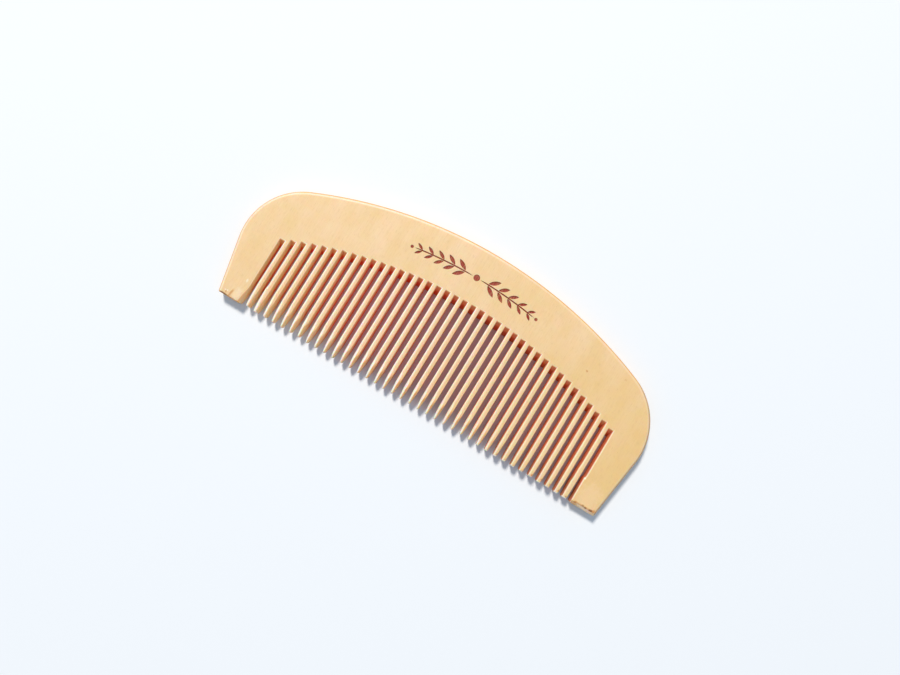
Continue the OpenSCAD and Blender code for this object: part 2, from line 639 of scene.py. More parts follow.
@dataclass(frozen=True)
class Guard:
    """One of the two solid guards beside the row of teeth, from its cut round to the straight end."""

    cuts: SawCuts
    side: Side
    corner_steps: int = 5
    foot_steps: int = 16
    dent_depths: Pair = (0.16, 0.1)
    dent_scale: Pair = (1.3, 0.8)
    dent_seed: float = 4.0
    dent_span: float = 1.02

    @property
    def board(self) -> Board:
        """The board that the guard is a part of."""
        return self.cuts.board

    @property
    def x(self) -> float:
        """Place of the guard's own cut in the row."""
        return self.cuts.cut_x(self.cuts.count - 1 if self.side is Side.RIGHT else 0)

    @property
    def root(self) -> float:
        """Root height of the guard's own cut."""
        return self.cuts.root(self.x)

    @property
    def lift(self) -> float:
        """How much higher that root lies than one in the middle of the row."""
        return self.root - self.cuts.base_root

    @property
    def tip(self) -> TipSide:
        """Shape of the guard's side of its cut, which is blunt on the right."""
        cuts = self.cuts if self.side is Side.LEFT else self.cuts.blunt()
        return cuts.tip(self.side.other)

    @property
    def foot(self) -> list[Pair]:
        """Section of the bevelled edge along the guard's foot."""
        return self.board.foot(self.side).whole(self.board.thick)

    def rings(self) -> list[tuple[Ring, float | None]]:
        """Returns the guard's rings, from the middle of its cut's floor to the straight end.

        Returns:
            Each ring with the width of the facet beside its sawn wall, or None along the sanded outline.
        """
        deep = EdgeSection(self.tip.facet_width(0), self.cuts.edge_soft).whole(self.board.thick)
        radii = [
            max(0.0, self.board.corner_r / 2 - max(a, b)) for (a, _), (b, _) in zip(deep, self.foot)
        ]
        low = [inset + r for (inset, _), r in zip(self.foot, radii)]
        end = [self._wall_point(n, y) for n, y in enumerate(low)]
        sawn = [(ring, 0.0) for ring in self._root_rings()]
        sawn += self._wall_rings(low)
        sawn.append((end, self.tip.facet_width(0)))
        outline = self._inner_corner(end, radii)
        outline += self._foot_rings(end, radii)
        outline += self.outer_corner()
        return sawn + [(ring, None) for ring in outline]

    def _leaned(self, across: float, y: float, z: float) -> Triple:
        """Returns a point of the inner wall at a distance from the middle of the cut."""
        return (self.cuts.leaned(self.x + self.side.value * across, y), y, z)

    def _root_rings(self) -> list[Ring]:
        """Returns the rings of the cut's floor, of its corner and of the wall just below it.

        Returns:
            The rings, from the floor down.
        """
        cuts = self.cuts
        section = EdgeSection(0.0, cuts.edge_soft).whole(self.board.thick)
        tops = [cuts.floor(self.root, z) + inset for inset, z in section]
        edge = [(cuts.width / 2 + inset, top, z) for (inset, z), top in zip(section, tops)]
        rings = [[self._leaned(0.0, top, z) for _, top, z in edge]]
        rings.append([self._leaned(*point) for point in edge])
        start = cuts.stations()[-1] + self.lift
        for share in reversed(ROOT_SHARES[:-1]):
            rings.append([
                self._leaned(across, start + (top - start) * share, z) for across, top, z in edge
            ])
        return rings

    def _wall_rings(self, low: list[float]) -> list[tuple[Ring, float]]:
        """Returns the rings of the sawn wall with their facets, from the root down.

        Args:
            low: the height at which each point of the section meets the foot's bevel.

        Returns:
            Each ring with the width of its facet.
        """
        heights = [y for y in self.cuts.stations() if y > self.cuts.end_soft]
        rings = []
        for y in reversed(heights):
            ring = [self._wall_point(n, self._raised(y, start)) for n, start in enumerate(low)]
            rings.append((ring, self.tip.facet_width(y)))
        return rings

    def _raised(self, y: float, low: float) -> float:
        """Returns a section's height on a guard: above the foot's bevel and stretched to its root.

        Args:
            y: the section's height on a tooth.
            low: the height of the foot's bevel there.

        Returns:
            The height on this guard.
        """
        if y < self.cuts.still_h:
            return low + y * (1 - low / self.cuts.still_h)
        return y + self.cuts.stretch(y) * self.lift

    def _wall_point(self, number: int, y: float) -> Triple:
        """Returns a point of the section on the guard's inner wall.

        Args:
            number: the point's number in the section.
            y: the point's height.

        Returns:
            The point.
        """
        section = EdgeSection(self.tip.facet_width(y), self.cuts.edge_soft).whole(self.board.thick)
        inset, z = section[number]
        return self._leaned(self.cuts.width / 2 + self.tip.drawn(y) + inset, y, z)

    def _inner_corner(self, end: Ring, radii: list[float]) -> list[Ring]:
        """Returns the rings round the corner between the sawn wall and the foot.

        Args:
            end: the lowest ring of the wall.
            radii: the corner's radius at each point.

        Returns:
            The rings, from the wall to the foot.
        """
        rings = []
        for step in range(1, self.corner_steps):
            turn = math.pi / 2 * step / self.corner_steps
            share = step / self.corner_steps
            ring = []
            for (x, _, z), (inset, level), r in zip(end, self.foot, radii):
                across = x + self.side.value * r * (1 - math.cos(turn))
                ring.append((across, inset + r * (1 - math.sin(turn)), z + (level - z) * share))
            rings.append(ring)
        return rings

    def _foot_rings(self, end: Ring, radii: list[float]) -> list[Ring]:
        """Returns the rings along the foot, with its small dents.

        Args:
            end: the lowest ring of the wall.
            radii: the inner corner's radius at each point.

        Returns:
            The rings, from the inner corner outwards.
        """
        first = [x + self.side.value * r for (x, _, _), r in zip(end, radii)]
        last = [x for x, _, _ in self.outer_corner()[0]]
        rings = []
        for step in range(self.foot_steps):
            share = step / self.foot_steps
            ring = [(a + (b - a) * share, y, z) for a, b, (y, z) in zip(first, last, self.foot)]
            rings.append(self._dented(ring, share))
        return rings

    def _dented(self, ring: Ring, share: float) -> Ring:
        """Returns a ring of the foot with small dents, deeper on the left guard.

        Args:
            ring: the ring.
            share: its place along the foot, from 0 at the inner corner to 1.

        Returns:
            The dented ring.
        """
        depth = self.dent_depths[0 if self.side is Side.LEFT else 1]
        fade = math.sin(math.pi * min(1.0, share * self.dent_span)) ** 0.5 if share > 0 else 0.0
        along, up = self.dent_scale
        dented = []
        for x, y, z in ring:
            dent = noise.noise(Vector((x * along, z * up, self.dent_seed * self.side.value)))
            dented.append((x, y + depth * fade * max(0.0, dent), z))
        return dented

    def outer_corner(self) -> list[Ring]:
        """Returns the rings round the guard's outer foot corner, from the foot to the straight end.

        Returns:
            The rings, one more than the corner has steps.
        """
        board = self.board
        rim = EdgeSection(0.0, board.rim_r).whole(board.thick)
        corner = board.foot_corner(self.side)
        up = Vector((0, 1))
        inwards = -board.end_normal(self.side)
        solve = Matrix((up, inwards)).inverted()
        rings = []
        for step in range(self.corner_steps + 1):
            share = step / self.corner_steps
            away = up.lerp(inwards, share).normalized()
            ring = []
            for (low, z0), (near, z1) in zip(self.foot, rim):
                r = max(0.0, board.corner_r - max(low, near))
                spot = corner + solve @ Vector((low + r, near + r)) - r * away
                ring.append((spot.x, spot.y, z0 + (z1 - z0) * share))
            rings.append(ring)
        return rings


@dataclass
class Surround:
    """The two guards with the rim that joins them over the back."""

    board: Board
    cuts: SawCuts

    def build(self) -> bpy.types.Object:
        """Builds the loft of rings along the outline, open on both faces.

        Returns:
            The object.
        """
        skin = Skin()
        left, right = (Guard(self.cuts, side) for side in Side)
        rings = [self._add(skin, *ring) for ring in right.rings()]
        rings += [self._add(skin, ring) for ring in self._rim(left, right)]
        rings += [self._add(skin, *ring) for ring in left.rings()][::-1]
        skin.sweep(rings)
        return linked(skin.mesh("wooden_comb", -self.board.height / 2))

    def _add(self, skin: Skin, ring: Ring, facet: float | None = None) -> list[int]:
        """Adds one ring.

        Args:
            skin: the mesh in the making.
            ring: the ring's points.
            facet: width of the facet beside a sawn wall, or None along the sanded outline.

        Returns:
            The indices of the new points.
        """
        nothing = [0.0] * len(ring)
        if facet is None:
            return skin.add(ring, sawn=nothing, edge=rim_share(), carved=nothing, rim=outer_share())
        return skin.add(
            ring, sawn=sawn_share(facet), edge=edge_share(), carved=carved_share(facet), rim=nothing
        )

    def _rim(self, left: Guard, right: Guard) -> list[Ring]:
        """Returns the rings of both straight ends, both shoulders and the back, from right to left.

        Args:
            left: the left guard.
            right: the right guard.

        Returns:
            The rings, in order.
        """
        section = EdgeSection(0.0, self.board.rim_r).whole(self.board.thick)
        back = []
        for point, normal in self.board.crown():
            spots = [(point - inset * normal, z) for inset, z in section]
            back.append([(spot.x, spot.y, z) for spot, z in spots])
        return self._straight(right) + back + self._straight(left)[::-1]

    def _straight(self, guard: Guard) -> list[Ring]:
        """Returns the rings of one straight end, from its foot corner up to its shoulder.

        Args:
            guard: the guard at that end.

        Returns:
            The rings, from the foot up.
        """
        board = self.board
        top, normal = board.end_top(guard.side), board.end_normal(guard.side)
        bottom = guard.outer_corner()[-1]
        section = EdgeSection(0.0, board.rim_r).whole(board.thick)
        rings = []
        for step in range(1, board.end_steps):
            share = step / board.end_steps
            ring = []
            for (x, y, _), (inset, z) in zip(bottom, section):
                high = top - inset * normal
                ring.append((x + (high.x - x) * share, y + (high.y - y) * share, z))
            rings.append(ring)
        return rings


@dataclass(frozen=True)
class Slip:
    """A place where the saw wandered: the wall on the right of a cut stands out from there to the tips."""

    cut: int
    top: float
    shift: float
    depth: float = 0.8
    clear: float = 0.7

    def push(self, cuts: SawCuts, points: np.ndarray) -> None:
        """Moves the points of the wall.

        Args:
            cuts: the row of cuts.
            points: the mesh's points in millimetres from the foot line, changed in place.
        """
        straight = points[:, 0] - (points[:, 1] - cuts.lean_h) * math.tan(cuts.lean)
        inside = straight - cuts.cut_x(self.cut) - cuts.width / 2
        on_wall = (inside > -self.clear) & (inside < self.depth)
        share = np.clip((self.top - points[:, 1]) / cuts.slip_blend + 0.5, 0, 1)
        points[:, 0] += on_wall * share * self.shift


# Node trees


class Tree:
    """Short-hand for building a node tree."""

    def __init__(self, tree: bpy.types.NodeTree) -> None:
        """Wraps a new, empty tree."""
        self.tree = tree

    def node(self, kind: str, settings: dict[str, object] | None = None, **inputs: Value) -> bpy.types.Node:
        """Adds a node.

        Args:
            kind: the node's type.
            settings: values of the node's own properties.
            inputs: a value or a socket for each named input, with _ for a space.

        Returns:
            The new node.
        """
        made = self.tree.nodes.new(kind)
        for name, value in (settings or {}).items():
            setattr(made, name, value)
        for name, value in inputs.items():
            self.put(made.inputs[name.replace("_", " ")], value)
        return made

    def put(self, socket: Socket, value: Value) -> None:
        """Links a socket to an input, or sets the input's own value.

        Args:
            socket: the input.
            value: the socket or the value.
        """
        if isinstance(value, Socket):
            self.tree.links.new(value, socket)
        else:
            socket.default_value = value

    def math(self, operation: str, *values: Value, clamp: bool = False) -> Socket:
        """Returns the result of a Math node.

        Args:
            operation: the node's operation.
            clamp: whether the result is kept from 0 to 1.
            values: the node's inputs, in order.

        Returns:
            The node's output.
        """
        made = self.node("ShaderNodeMath", {"operation": operation, "use_clamp": clamp})
        for socket, value in zip(made.inputs, values):
            self.put(socket, value)
        return made.outputs[0]

    def times(self, value: Value, *factors: Value) -> Value:
        """Returns the product of two or more numbers.

        Args:
            value: the first number.
            factors: the numbers to multiply it by.

        Returns:
            The product.
        """
        for factor in factors:
            value = self.math("MULTIPLY", value, factor)
        return value

    def scaled(self, value: Value, factor: Value, offset: Value) -> Socket:
        """Returns a number times a factor, plus an offset."""
        return self.math("MULTIPLY_ADD", value, factor, offset)

    def plus(self, first: Value, second: Value) -> Socket:
        """Returns the sum of two numbers."""
        return self.math("ADD", first, second)

    def minus(self, first: Value, second: Value) -> Socket:
        """Returns the first number less the second."""
        return self.math("SUBTRACT", first, second)

    def over(self, first: Value, second: Value) -> Socket:
        """Returns the first number divided by the second."""
        return self.math("DIVIDE", first, second)

    def larger(self, first: Value, second: Value) -> Socket:
        """Returns the larger of two numbers."""
        return self.math("MAXIMUM", first, second)

    def absolute(self, value: Value) -> Socket:
        """Returns a number without its sign."""
        return self.math("ABSOLUTE", value)

    def vector(self, operation: str, *values: Value) -> Socket:
        """Returns the vector that a Vector Math node makes.

        Args:
            operation: the node's operation.
            values: the node's inputs, in order.

        Returns:
            The node's vector output.
        """
        made = self.node("ShaderNodeVectorMath", {"operation": operation})
        for socket, value in zip(made.inputs, values):
            self.put(socket, value)
        return made.outputs[0]

    def measure(self, operation: str, *values: Value) -> Socket:
        """Returns the number that a Vector Math node finds."""
        return self.vector(operation, *values).node.outputs["Value"]

    def combine(self, x: Value, y: Value, z: Value) -> Socket:
        """Returns a vector made of three numbers."""
        return self.node("ShaderNodeCombineXYZ", X=x, Y=y, Z=z).outputs[0]

    def split(self, vector: Value) -> list[Socket]:
        """Returns the three numbers of a vector."""
        return list(self.node("ShaderNodeSeparateXYZ", Vector=vector).outputs)

    def ramp(self, value: Value, low: Value, high: Value, start: float = 0.0, end: float = 1.0) -> Socket:
        """Returns a value eased from one range to another.

        Args:
            value: the number or the socket.
            low: the value's first limit.
            high: the value's second limit.
            start: the result at the first limit.
            end: the result at the second limit.

        Returns:
            The eased value.
        """
        made = self.node("ShaderNodeMapRange", {"interpolation_type": "SMOOTHSTEP"}, Value=value)
        for name, limit in (("From Min", low), ("From Max", high), ("To Min", start), ("To Max", end)):
            self.put(made.inputs[name], limit)
        return made.outputs[0]


class GeometryTree(Tree):
    """A Geometry Nodes tree with named inputs for its sizes."""

    def __init__(self, name: str) -> None:
        """Makes the tree with its geometry sockets.

        Args:
            name: the tree's name.
        """
        super().__init__(bpy.data.node_groups.new(name, "GeometryNodeTree"))
        for way in ("INPUT", "OUTPUT"):
            self.tree.interface.new_socket("Geometry", in_out=way, socket_type="NodeSocketGeometry")
        self.source = self.node("NodeGroupInput")
        self.values: dict[str, object] = {}

    def __getitem__(self, name: str) -> Socket:
        """Returns the socket that gives a named input inside the tree."""
        return self.source.outputs[name]

    def add_inputs(self, kind: str, values: dict[str, object]) -> None:
        """Adds named inputs of one kind with their values.

        Args:
            kind: the kind of socket.
            values: each input's name with its value.
        """
        for name, value in values.items():
            item = self.tree.interface.new_socket(name, in_out="INPUT", socket_type="NodeSocket" + kind)
            self.values[item.identifier] = value

    def mark(self, mark: Mark, kind: str = "FLOAT") -> Socket:
        """Returns a mesh attribute as a socket."""
        return self.node("GeometryNodeInputNamedAttribute", {"data_type": kind}, Name=mark.value).outputs[0]

    def shape(self, name: str) -> Socket:
        """Returns the geometry of the object that a named input holds."""
        return self.node("GeometryNodeObjectInfo", Object=self[name]).outputs["Geometry"]

    def join(self, *parts: Socket) -> Socket:
        """Returns several geometries as one.

        Args:
            parts: the geometries.

        Returns:
            The joined geometry.
        """
        joined = self.node("GeometryNodeJoinGeometry")
        for part in parts:
            self.put(joined.inputs[0], part)
        return joined.outputs[0]

    def finish(self, geometry: Socket) -> None:
        """Ends the tree in Realize Instances and Set Material, with the input Wood.

        Args:
            geometry: the finished geometry.
        """
        real = self.node("GeometryNodeRealizeInstances", Geometry=geometry).outputs[0]
        dressed = self.node("GeometryNodeSetMaterial", Geometry=real, Material=self["Wood"]).outputs[0]
        self.put(self.node("NodeGroupOutput").inputs[0], dressed)

    def apply(self, target: bpy.types.Object) -> None:
        """Runs the tree on an object and keeps the result as its plain mesh.

        Args:
            target: the object.
        """
        modifier = target.modifiers.new(self.tree.name, "NODES")
        modifier.node_group = self.tree
        for identifier, value in self.values.items():
            modifier[identifier] = value
        bake(target)


def bake(target: bpy.types.Object) -> None:
    """Turns an object's modifiers into a plain mesh.

    Args:
        target: the object.
    """
    bpy.context.view_layer.update()
    evaluated = target.evaluated_get(bpy.context.evaluated_depsgraph_get())
    mesh = bpy.data.meshes.new_from_object(evaluated)
    target.modifiers.clear()
    old = target.data
    target.data = mesh
    bpy.data.meshes.remove(old)
    mesh.name = target.name


@dataclass
class ToothRow:
    """The row of teeth between the guards, set out and stretched to their roots by a tree."""

    cuts: SawCuts
    weld: float = 0.002
    unevenness: float = 0.05
    tip_short: float = 0.14
    tip_unevenness: float = 0.3
    shallow_from: float = 16.0
    shallow_to: float = 46.0
    stout_from: float = -46.0
    stout_to: float = -58.0
    stoutness: float = 0.5
    fade_power: float = 24.0
    seed: int = 7

    def add_to(self, comb: bpy.types.Object, wood: bpy.types.Material) -> None:
        """Adds the teeth to the guards' mesh and welds them on.

        Args:
            comb: the object of the guards.
            wood: the finish of every tooth.
        """
        pattern = ToothPattern(self.cuts).build()
        tree = GeometryTree("Tooth row")
        tree.add_inputs("Object", {"Tooth": pattern})
        tree.add_inputs("Material", {"Wood": wood})
        tree.add_inputs("Int", {"Teeth": self.cuts.count - 1, "Seed": self.seed})
        tree.add_inputs("Float", {"Lean": math.tan(self.cuts.lean), "Stoutness": self.stoutness})
        tree.add_inputs("Float", {name: length * MM for name, length in self._lengths().items()})
        moved = tree.node(
            "GeometryNodeSetPosition",
            Geometry=self._teeth(tree),
            Position=self._position(tree),
            Offset=self._blunting(tree),
        ).outputs[0]
        joined = tree.join(moved, tree["Geometry"])
        welded = tree.node("GeometryNodeMergeByDistance", Geometry=joined, Distance=tree["Weld"])
        tree.finish(welded.outputs[0])
        tree.apply(comb)
        bpy.data.objects.remove(pattern)

    def _lengths(self) -> dict[str, float]:
        """Returns the lengths and places that the tree reads, in millimetres.

        Returns:
            Each input's name with its length.
        """
        cuts = self.cuts
        rise = -cuts.board.height / 2
        return {
            "Pitch": cuts.pitch,
            "First tooth": cuts.cut_x(0) + cuts.pitch / 2,
            "Foot line": rise,
            "Root arc X": cuts.arc_centre.x,
            "Root arc Y": cuts.arc_centre.y + rise,
            "Root arc radius": cuts.board.back_r,
            "Pattern root": cuts.base_root + rise,
            "Lean height": cuts.lean_h + rise,
            "Row middle": cuts.shift,
            "Unevenness": self.unevenness,
            "Shallow from": self.shallow_from,
            "Shallow to": self.shallow_to,
            "Stout from": self.stout_from,
            "Stout to": self.stout_to,
            "Tip shortfall": self.tip_short,
            "Tip unevenness": self.tip_unevenness,
            "Weld": self.weld,
        }

    def _teeth(self, tree: GeometryTree) -> Socket:
        """Returns a copy of the pattern for each tooth, marked with the tooth's place in the row.

        Args:
            tree: the tree in the making.

        Returns:
            The teeth's geometry.
        """
        line = tree.node(
            "GeometryNodeMeshLine",
            {"mode": "OFFSET"},
            Count=tree["Teeth"],
            Start_Location=tree.combine(tree["First tooth"], tree["Foot line"], 0.0),
            Offset=tree.combine(tree["Pitch"], 0.0, 0.0),
        ).outputs[0]
        tooth = tree.shape("Tooth")
        placed = tree.node("GeometryNodeInstanceOnPoints", Points=line, Instance=tooth).outputs[0]
        marked = tree.node(
            "GeometryNodeStoreNamedAttribute",
            {"domain": "INSTANCE"},
            Geometry=placed,
            Name=Mark.TOOTH_X.value,
            Value=tree.split(tree.node("GeometryNodeInputPosition").outputs[0])[0],
        ).outputs[0]
        return tree.node("GeometryNodeRealizeInstances", Geometry=marked).outputs[0]

    def _growth(self, tree: GeometryTree) -> Socket:
        """Returns how much higher the root beside each point lies than the pattern's root.

        Args:
            tree: the tree in the making.

        Returns:
            The length in metres.
        """
        half_pitch = tree.times(tree["Pitch"], 0.5)
        cut_x = tree.scaled(tree.mark(Mark.SIDE), half_pitch, tree.mark(Mark.TOOTH_X))
        across = tree.minus(cut_x, tree["Root arc X"])
        squares = tree.minus(
            tree.math("POWER", tree["Root arc radius"], 2.0), tree.math("POWER", across, 2.0)
        )
        root = tree.plus(tree["Root arc Y"], tree.math("SQRT", squares))
        off_middle = tree.minus(cut_x, tree["Row middle"])
        edge = tree.absolute(tree.over(off_middle, tree.times(tree["Teeth"], half_pitch)))
        inner = tree.math("SUBTRACT", 1.0, tree.math("POWER", edge, self.fade_power), clamp=True)
        chance = self._random(tree, tree.over(off_middle, tree["Pitch"]), 1)
        root = tree.scaled(chance, tree.times(inner, tree["Unevenness"]), root)
        return tree.minus(root, tree["Pattern root"])

    def _position(self, tree: GeometryTree) -> Socket:
        """Returns each point's place: up with its root, and aside with the lean and a small sway.

        Args:
            tree: the tree in the making.

        Returns:
            The place in metres.
        """
        x, y, z = tree.split(tree.node("GeometryNodeInputPosition").outputs[0])
        stretch = tree.mark(Mark.STRETCH)
        free = tree.minus(1.0, stretch)
        place = tree.over(tree.mark(Mark.TOOTH_X), tree["Pitch"])
        sway = tree.times(self._random(tree, place, 2), tree.times(free, tree["Unevenness"]))
        short = tree.absolute(self._random(tree, place, 3))
        shorter = tree.times(tree.scaled(short, tree["Tip unevenness"], tree["Tip shortfall"]), free)
        new_y = tree.plus(tree.plus(y, tree.times(stretch, self._growth(tree))), shorter)
        leaning = tree.times(tree.minus(new_y, tree["Lean height"]), tree["Lean"])
        return tree.combine(tree.plus(tree.plus(x, leaning), sway), new_y, z)

    def _blunting(self, tree: GeometryTree) -> Socket:
        """Returns each point's step towards the blunt tooth, for the teeth near both ends of the row.

        Args:
            tree: the tree in the making.

        Returns:
            The step in metres.
        """
        tooth_x = tree.mark(Mark.TOOTH_X)
        shallow = tree.ramp(tooth_x, tree["Shallow from"], tree["Shallow to"])
        stout = tree.ramp(tooth_x, tree["Stout from"], tree["Stout to"])
        return tree.node(
            "ShaderNodeVectorMath",
            {"operation": "SCALE"},
            Vector=tree.mark(Mark.SHALLOW, "FLOAT_VECTOR"),
            Scale=tree.scaled(stout, tree["Stoutness"], shallow),
        ).outputs[0]

    def _random(self, tree: GeometryTree, place: Value, step: int) -> Socket:
        """Returns a fixed random value from -1 to 1 for each whole place in the row.

        Args:
            tree: the tree in the making.
            place: the place, counted in teeth.
            step: which series of values.

        Returns:
            The value.
        """
        made = tree.node(
            "FunctionNodeRandomValue",
            {"data_type": "FLOAT"},
            ID=tree.math("ROUND", place),
            Seed=tree.plus(tree["Seed"], float(step)),
        )
        made.inputs[2].default_value = -1.0
        made.inputs[3].default_value = 1.0
        return made.outputs[1]


# Engraved sprig


@dataclass(frozen=True)
class Groove:
    """An engraved groove along a line: steep edges and a floor that may be deeper in the middle."""

    depth: float = 0.22
    middle_depth: float = 0.34
    wall: float = 0.07
    steepest: float = 0.6

    def cut(self, skin: Skin, line: Line, top: float) -> None:
        """Adds the groove's walls and floor.

        Args:
            skin: the mesh in the making.
            line: (point, left normal, half width) along the groove, with no width at both ends.
            top: the level of the face that the groove is cut into.
        """
        rungs = []
        for point, left, half in line[1:-1]:
            low = half - min(self.wall, half * self.steepest)
            half_section = [(half, 0.0), (low, self.depth)]
            section = [*half_section, (0.0, self.middle_depth), *((-w, d) for w, d in half_section[::-1])]
            ring = [(point.x + left.x * w, point.y + left.y * w, top - d) for w, d in section]
            rungs.append(skin.add(ring))
        skin.sweep(rungs)
        for (end, _, _), rung, turned in ((line[0], rungs[0], False), (line[-1], rungs[-1], True)):
            apex = skin.add([(end.x, end.y, top)])[0]
            for a, b in zip(rung, rung[1:]):
                skin.faces.append((a, apex, b) if turned else (apex, a, b))


@dataclass
class Sprig:
    """The engraved sprig on the front face: a stem in two halves, leaves in pairs, and three buds."""

    board: Board
    length: float = 47.0
    drop: float = 10.0
    pairs: int = 5
    leaf_len: float = 4.2
    leaf_w: float = 1.4
    fade: float = 0.09
    leaf_angle: float = math.radians(36)
    bud_d: float = 2.2
    bud_dome: float = 0.08
    stem_w: float = 0.45
    stem_taper: float = 6.0
    gap: float = 0.28
    leaf_gap: float = 0.55
    stem_steps: int = 26
    bow_steps: int = 12

    @property
    def stem_r(self) -> float:
        """Radius of the stem's arc."""
        return self.board.back_r - self.drop

    @property
    def half_angle(self) -> float:
        """Angle of half the stem, as seen from the arc's centre."""
        return math.asin(self.length / 2 / self.stem_r)

    def add_to(self, comb: bpy.types.Object, wood: bpy.types.Material) -> None:
        """Adds the grooves, open at the face, to the comb's mesh.

        Args:
            comb: the comb's object.
            wood: its finish.
        """
        skin = Skin()
        groove = Groove()
        bud_groove = Groove(middle_depth=self.bud_dome)
        for side in Side:
            self._stem(skin, groove, side)
            self._bud(skin, bud_groove, side.value * self.half_angle, self.bud_d / 4)
        self._bud(skin, bud_groove, 0.0, self.bud_d / 2)
        stem = linked(skin.mesh("stem_pattern", -self.board.height / 2))
        leaf = self._leaf(groove)
        for pattern in (stem, leaf):
            carved = pattern.data.attributes.new(Mark.ENGRAVED.value, "FLOAT", "FACE")
            carved.data.foreach_set("value", np.ones(len(pattern.data.polygons), np.float32))
        tree = GeometryTree("Leaf sprig")
        tree.add_inputs("Object", {"Stem": stem, "Leaf": leaf})
        tree.add_inputs("Material", {"Wood": wood})
        tree.add_inputs("Int", {"Pairs on each half": self.pairs})
        tree.add_inputs("Float", self._sizes())
        tree.finish(tree.join(self._leaves(tree), tree.shape("Stem"), tree["Geometry"]))
        tree.apply(comb)
        bpy.data.objects.remove(stem)
        bpy.data.objects.remove(leaf)

    def _sizes(self) -> dict[str, float]:
        """Returns the lengths in metres, the angles and the share that the tree reads.

        Returns:
            Each input's name with its value.
        """
        return {
            "Stem radius": self.stem_r * MM,
            "Stem centre": (self.board.back_y - self.board.height / 2) * MM,
            "Angle between pairs": self.half_angle / (self.pairs + 1),
            "Leaf angle": self.leaf_angle,
            "Fade": self.fade,
            "Face level": self.board.thick * MM,
        }

    def _at(self, angle: float, radius: float) -> Vector:
        """Returns the point at an angle from the middle of the arc, clockwise."""
        return Vector((radius * math.sin(angle), self.board.back_y + radius * math.cos(angle)))

    def _stem(self, skin: Skin, groove: Groove, side: Side) -> None:
        """Adds one half of the stem, from the middle bud to its end bud.

        Args:
            skin: the mesh in the making.
            groove: the groove's section.
            side: which half of the stem.
        """
        first = (self.bud_d / 2 + self.gap) / self.stem_r
        last = self.half_angle - (self.bud_d / 4 + self.gap) / self.stem_r
        line = []
        for n in range(self.stem_steps + 1):
            share = n / self.stem_steps
            angle = side.value * (first + (last - first) * share)
            if side is Side.LEFT:
                angle = side.value * (last + (first - last) * share)
            taper = min(1.0, self.stem_taper * min(share, 1 - share)) ** 0.5
            outwards = Vector((math.sin(angle), math.cos(angle)))
            line.append((self._at(angle, self.stem_r), outwards, self.stem_w / 2 * taper))
        groove.cut(skin, line, self.board.thick)

    def _bud(self, skin: Skin, groove: Groove, angle: float, radius: float) -> None:
        """Adds a round bud with a domed floor.

        Args:
            skin: the mesh in the making.
            groove: the groove's section.
            angle: the angle of its middle on the stem's arc.
            radius: its radius.
        """
        centre = self._at(angle, self.stem_r)
        line = []
        for turn in np.linspace(math.pi, 0, self.bow_steps + 1):
            spot = centre + Vector((radius * math.cos(turn), 0))
            line.append((spot, Vector((0, 1)), radius * math.sin(turn)))
        groove.cut(skin, line, self.board.thick)

    def _leaf(self, groove: Groove) -> bpy.types.Object:
        """Returns one leaf, which points along X from its base near the origin.

        Args:
            groove: the groove's section.

        Returns:
            The leaf's object.
        """
        half_l, half_w = self.leaf_len / 2, self.leaf_w / 2
        bow_r = (half_l**2 + half_w**2) / (2 * half_w)
        skin = Skin()
        line = []
        for turn in np.linspace(math.pi, 0, self.bow_steps + 1):
            along = half_l * math.cos(turn)
            wide = max(0.0, math.sqrt(bow_r**2 - along**2) - (bow_r - half_w))
            line.append((Vector((self.leaf_gap + half_l + along, 0)), Vector((0, 1)), wide))
        groove.cut(skin, line, 0.0)
        return linked(skin.mesh("leaf_pattern", 0))

    def _leaves(self, tree: GeometryTree) -> Socket:
        """Returns the leaves, set in pairs along both halves of the stem and smaller towards its ends.

        Args:
            tree: the tree in the making.

        Returns:
            The leaves' geometry.
        """
        index = tree.node("GeometryNodeInputIndex").outputs[0]
        pair = tree.math("FLOOR", tree.over(index, 4.0))
        side = tree.minus(tree.times(tree.math("MODULO", index, 2.0), 2.0), 1.0)
        half_number = tree.math("MODULO", tree.math("FLOOR", tree.over(index, 2.0)), 2.0)
        half = tree.minus(tree.times(half_number, 2.0), 1.0)
        turn = tree.times(tree.plus(pair, 1.0), tree["Angle between pairs"])
        angle = tree.times(half, turn)
        spot = tree.combine(
            tree.times(tree["Stem radius"], tree.math("SINE", angle)),
            tree.scaled(tree["Stem radius"], tree.math("COSINE", angle), tree["Stem centre"]),
            tree["Face level"],
        )
        outwards = tree.minus(tree.times(side, tree["Leaf angle"]), turn)
        mirrored_way = tree.times(tree.minus(1.0, half), math.pi / 2)
        heading = tree.combine(0.0, 0.0, tree.scaled(half, outwards, mirrored_way))
        scale = tree.minus(1.0, tree.times(pair, tree["Fade"]))
        count = tree.times(tree["Pairs on each half"], 4.0)
        line = tree.node("GeometryNodeMeshLine", {"mode": "OFFSET"}, Count=count).outputs[0]
        return tree.node(
            "GeometryNodeInstanceOnPoints",
            Points=tree.node("GeometryNodeSetPosition", Geometry=line, Position=spot).outputs[0],
            Instance=tree.shape("Leaf"),
            Rotation=tree.node("FunctionNodeEulerToRotation", Euler=heading).outputs[0],
            Scale=tree.combine(scale, scale, 1.0),
        ).outputs[0]


# Finishes


@dataclass(frozen=True)
class Noise:
    """A noise, stretched by a scale along each axis, which is per metre."""

    scale: Triple
    detail: float
    rough: float = 0.5


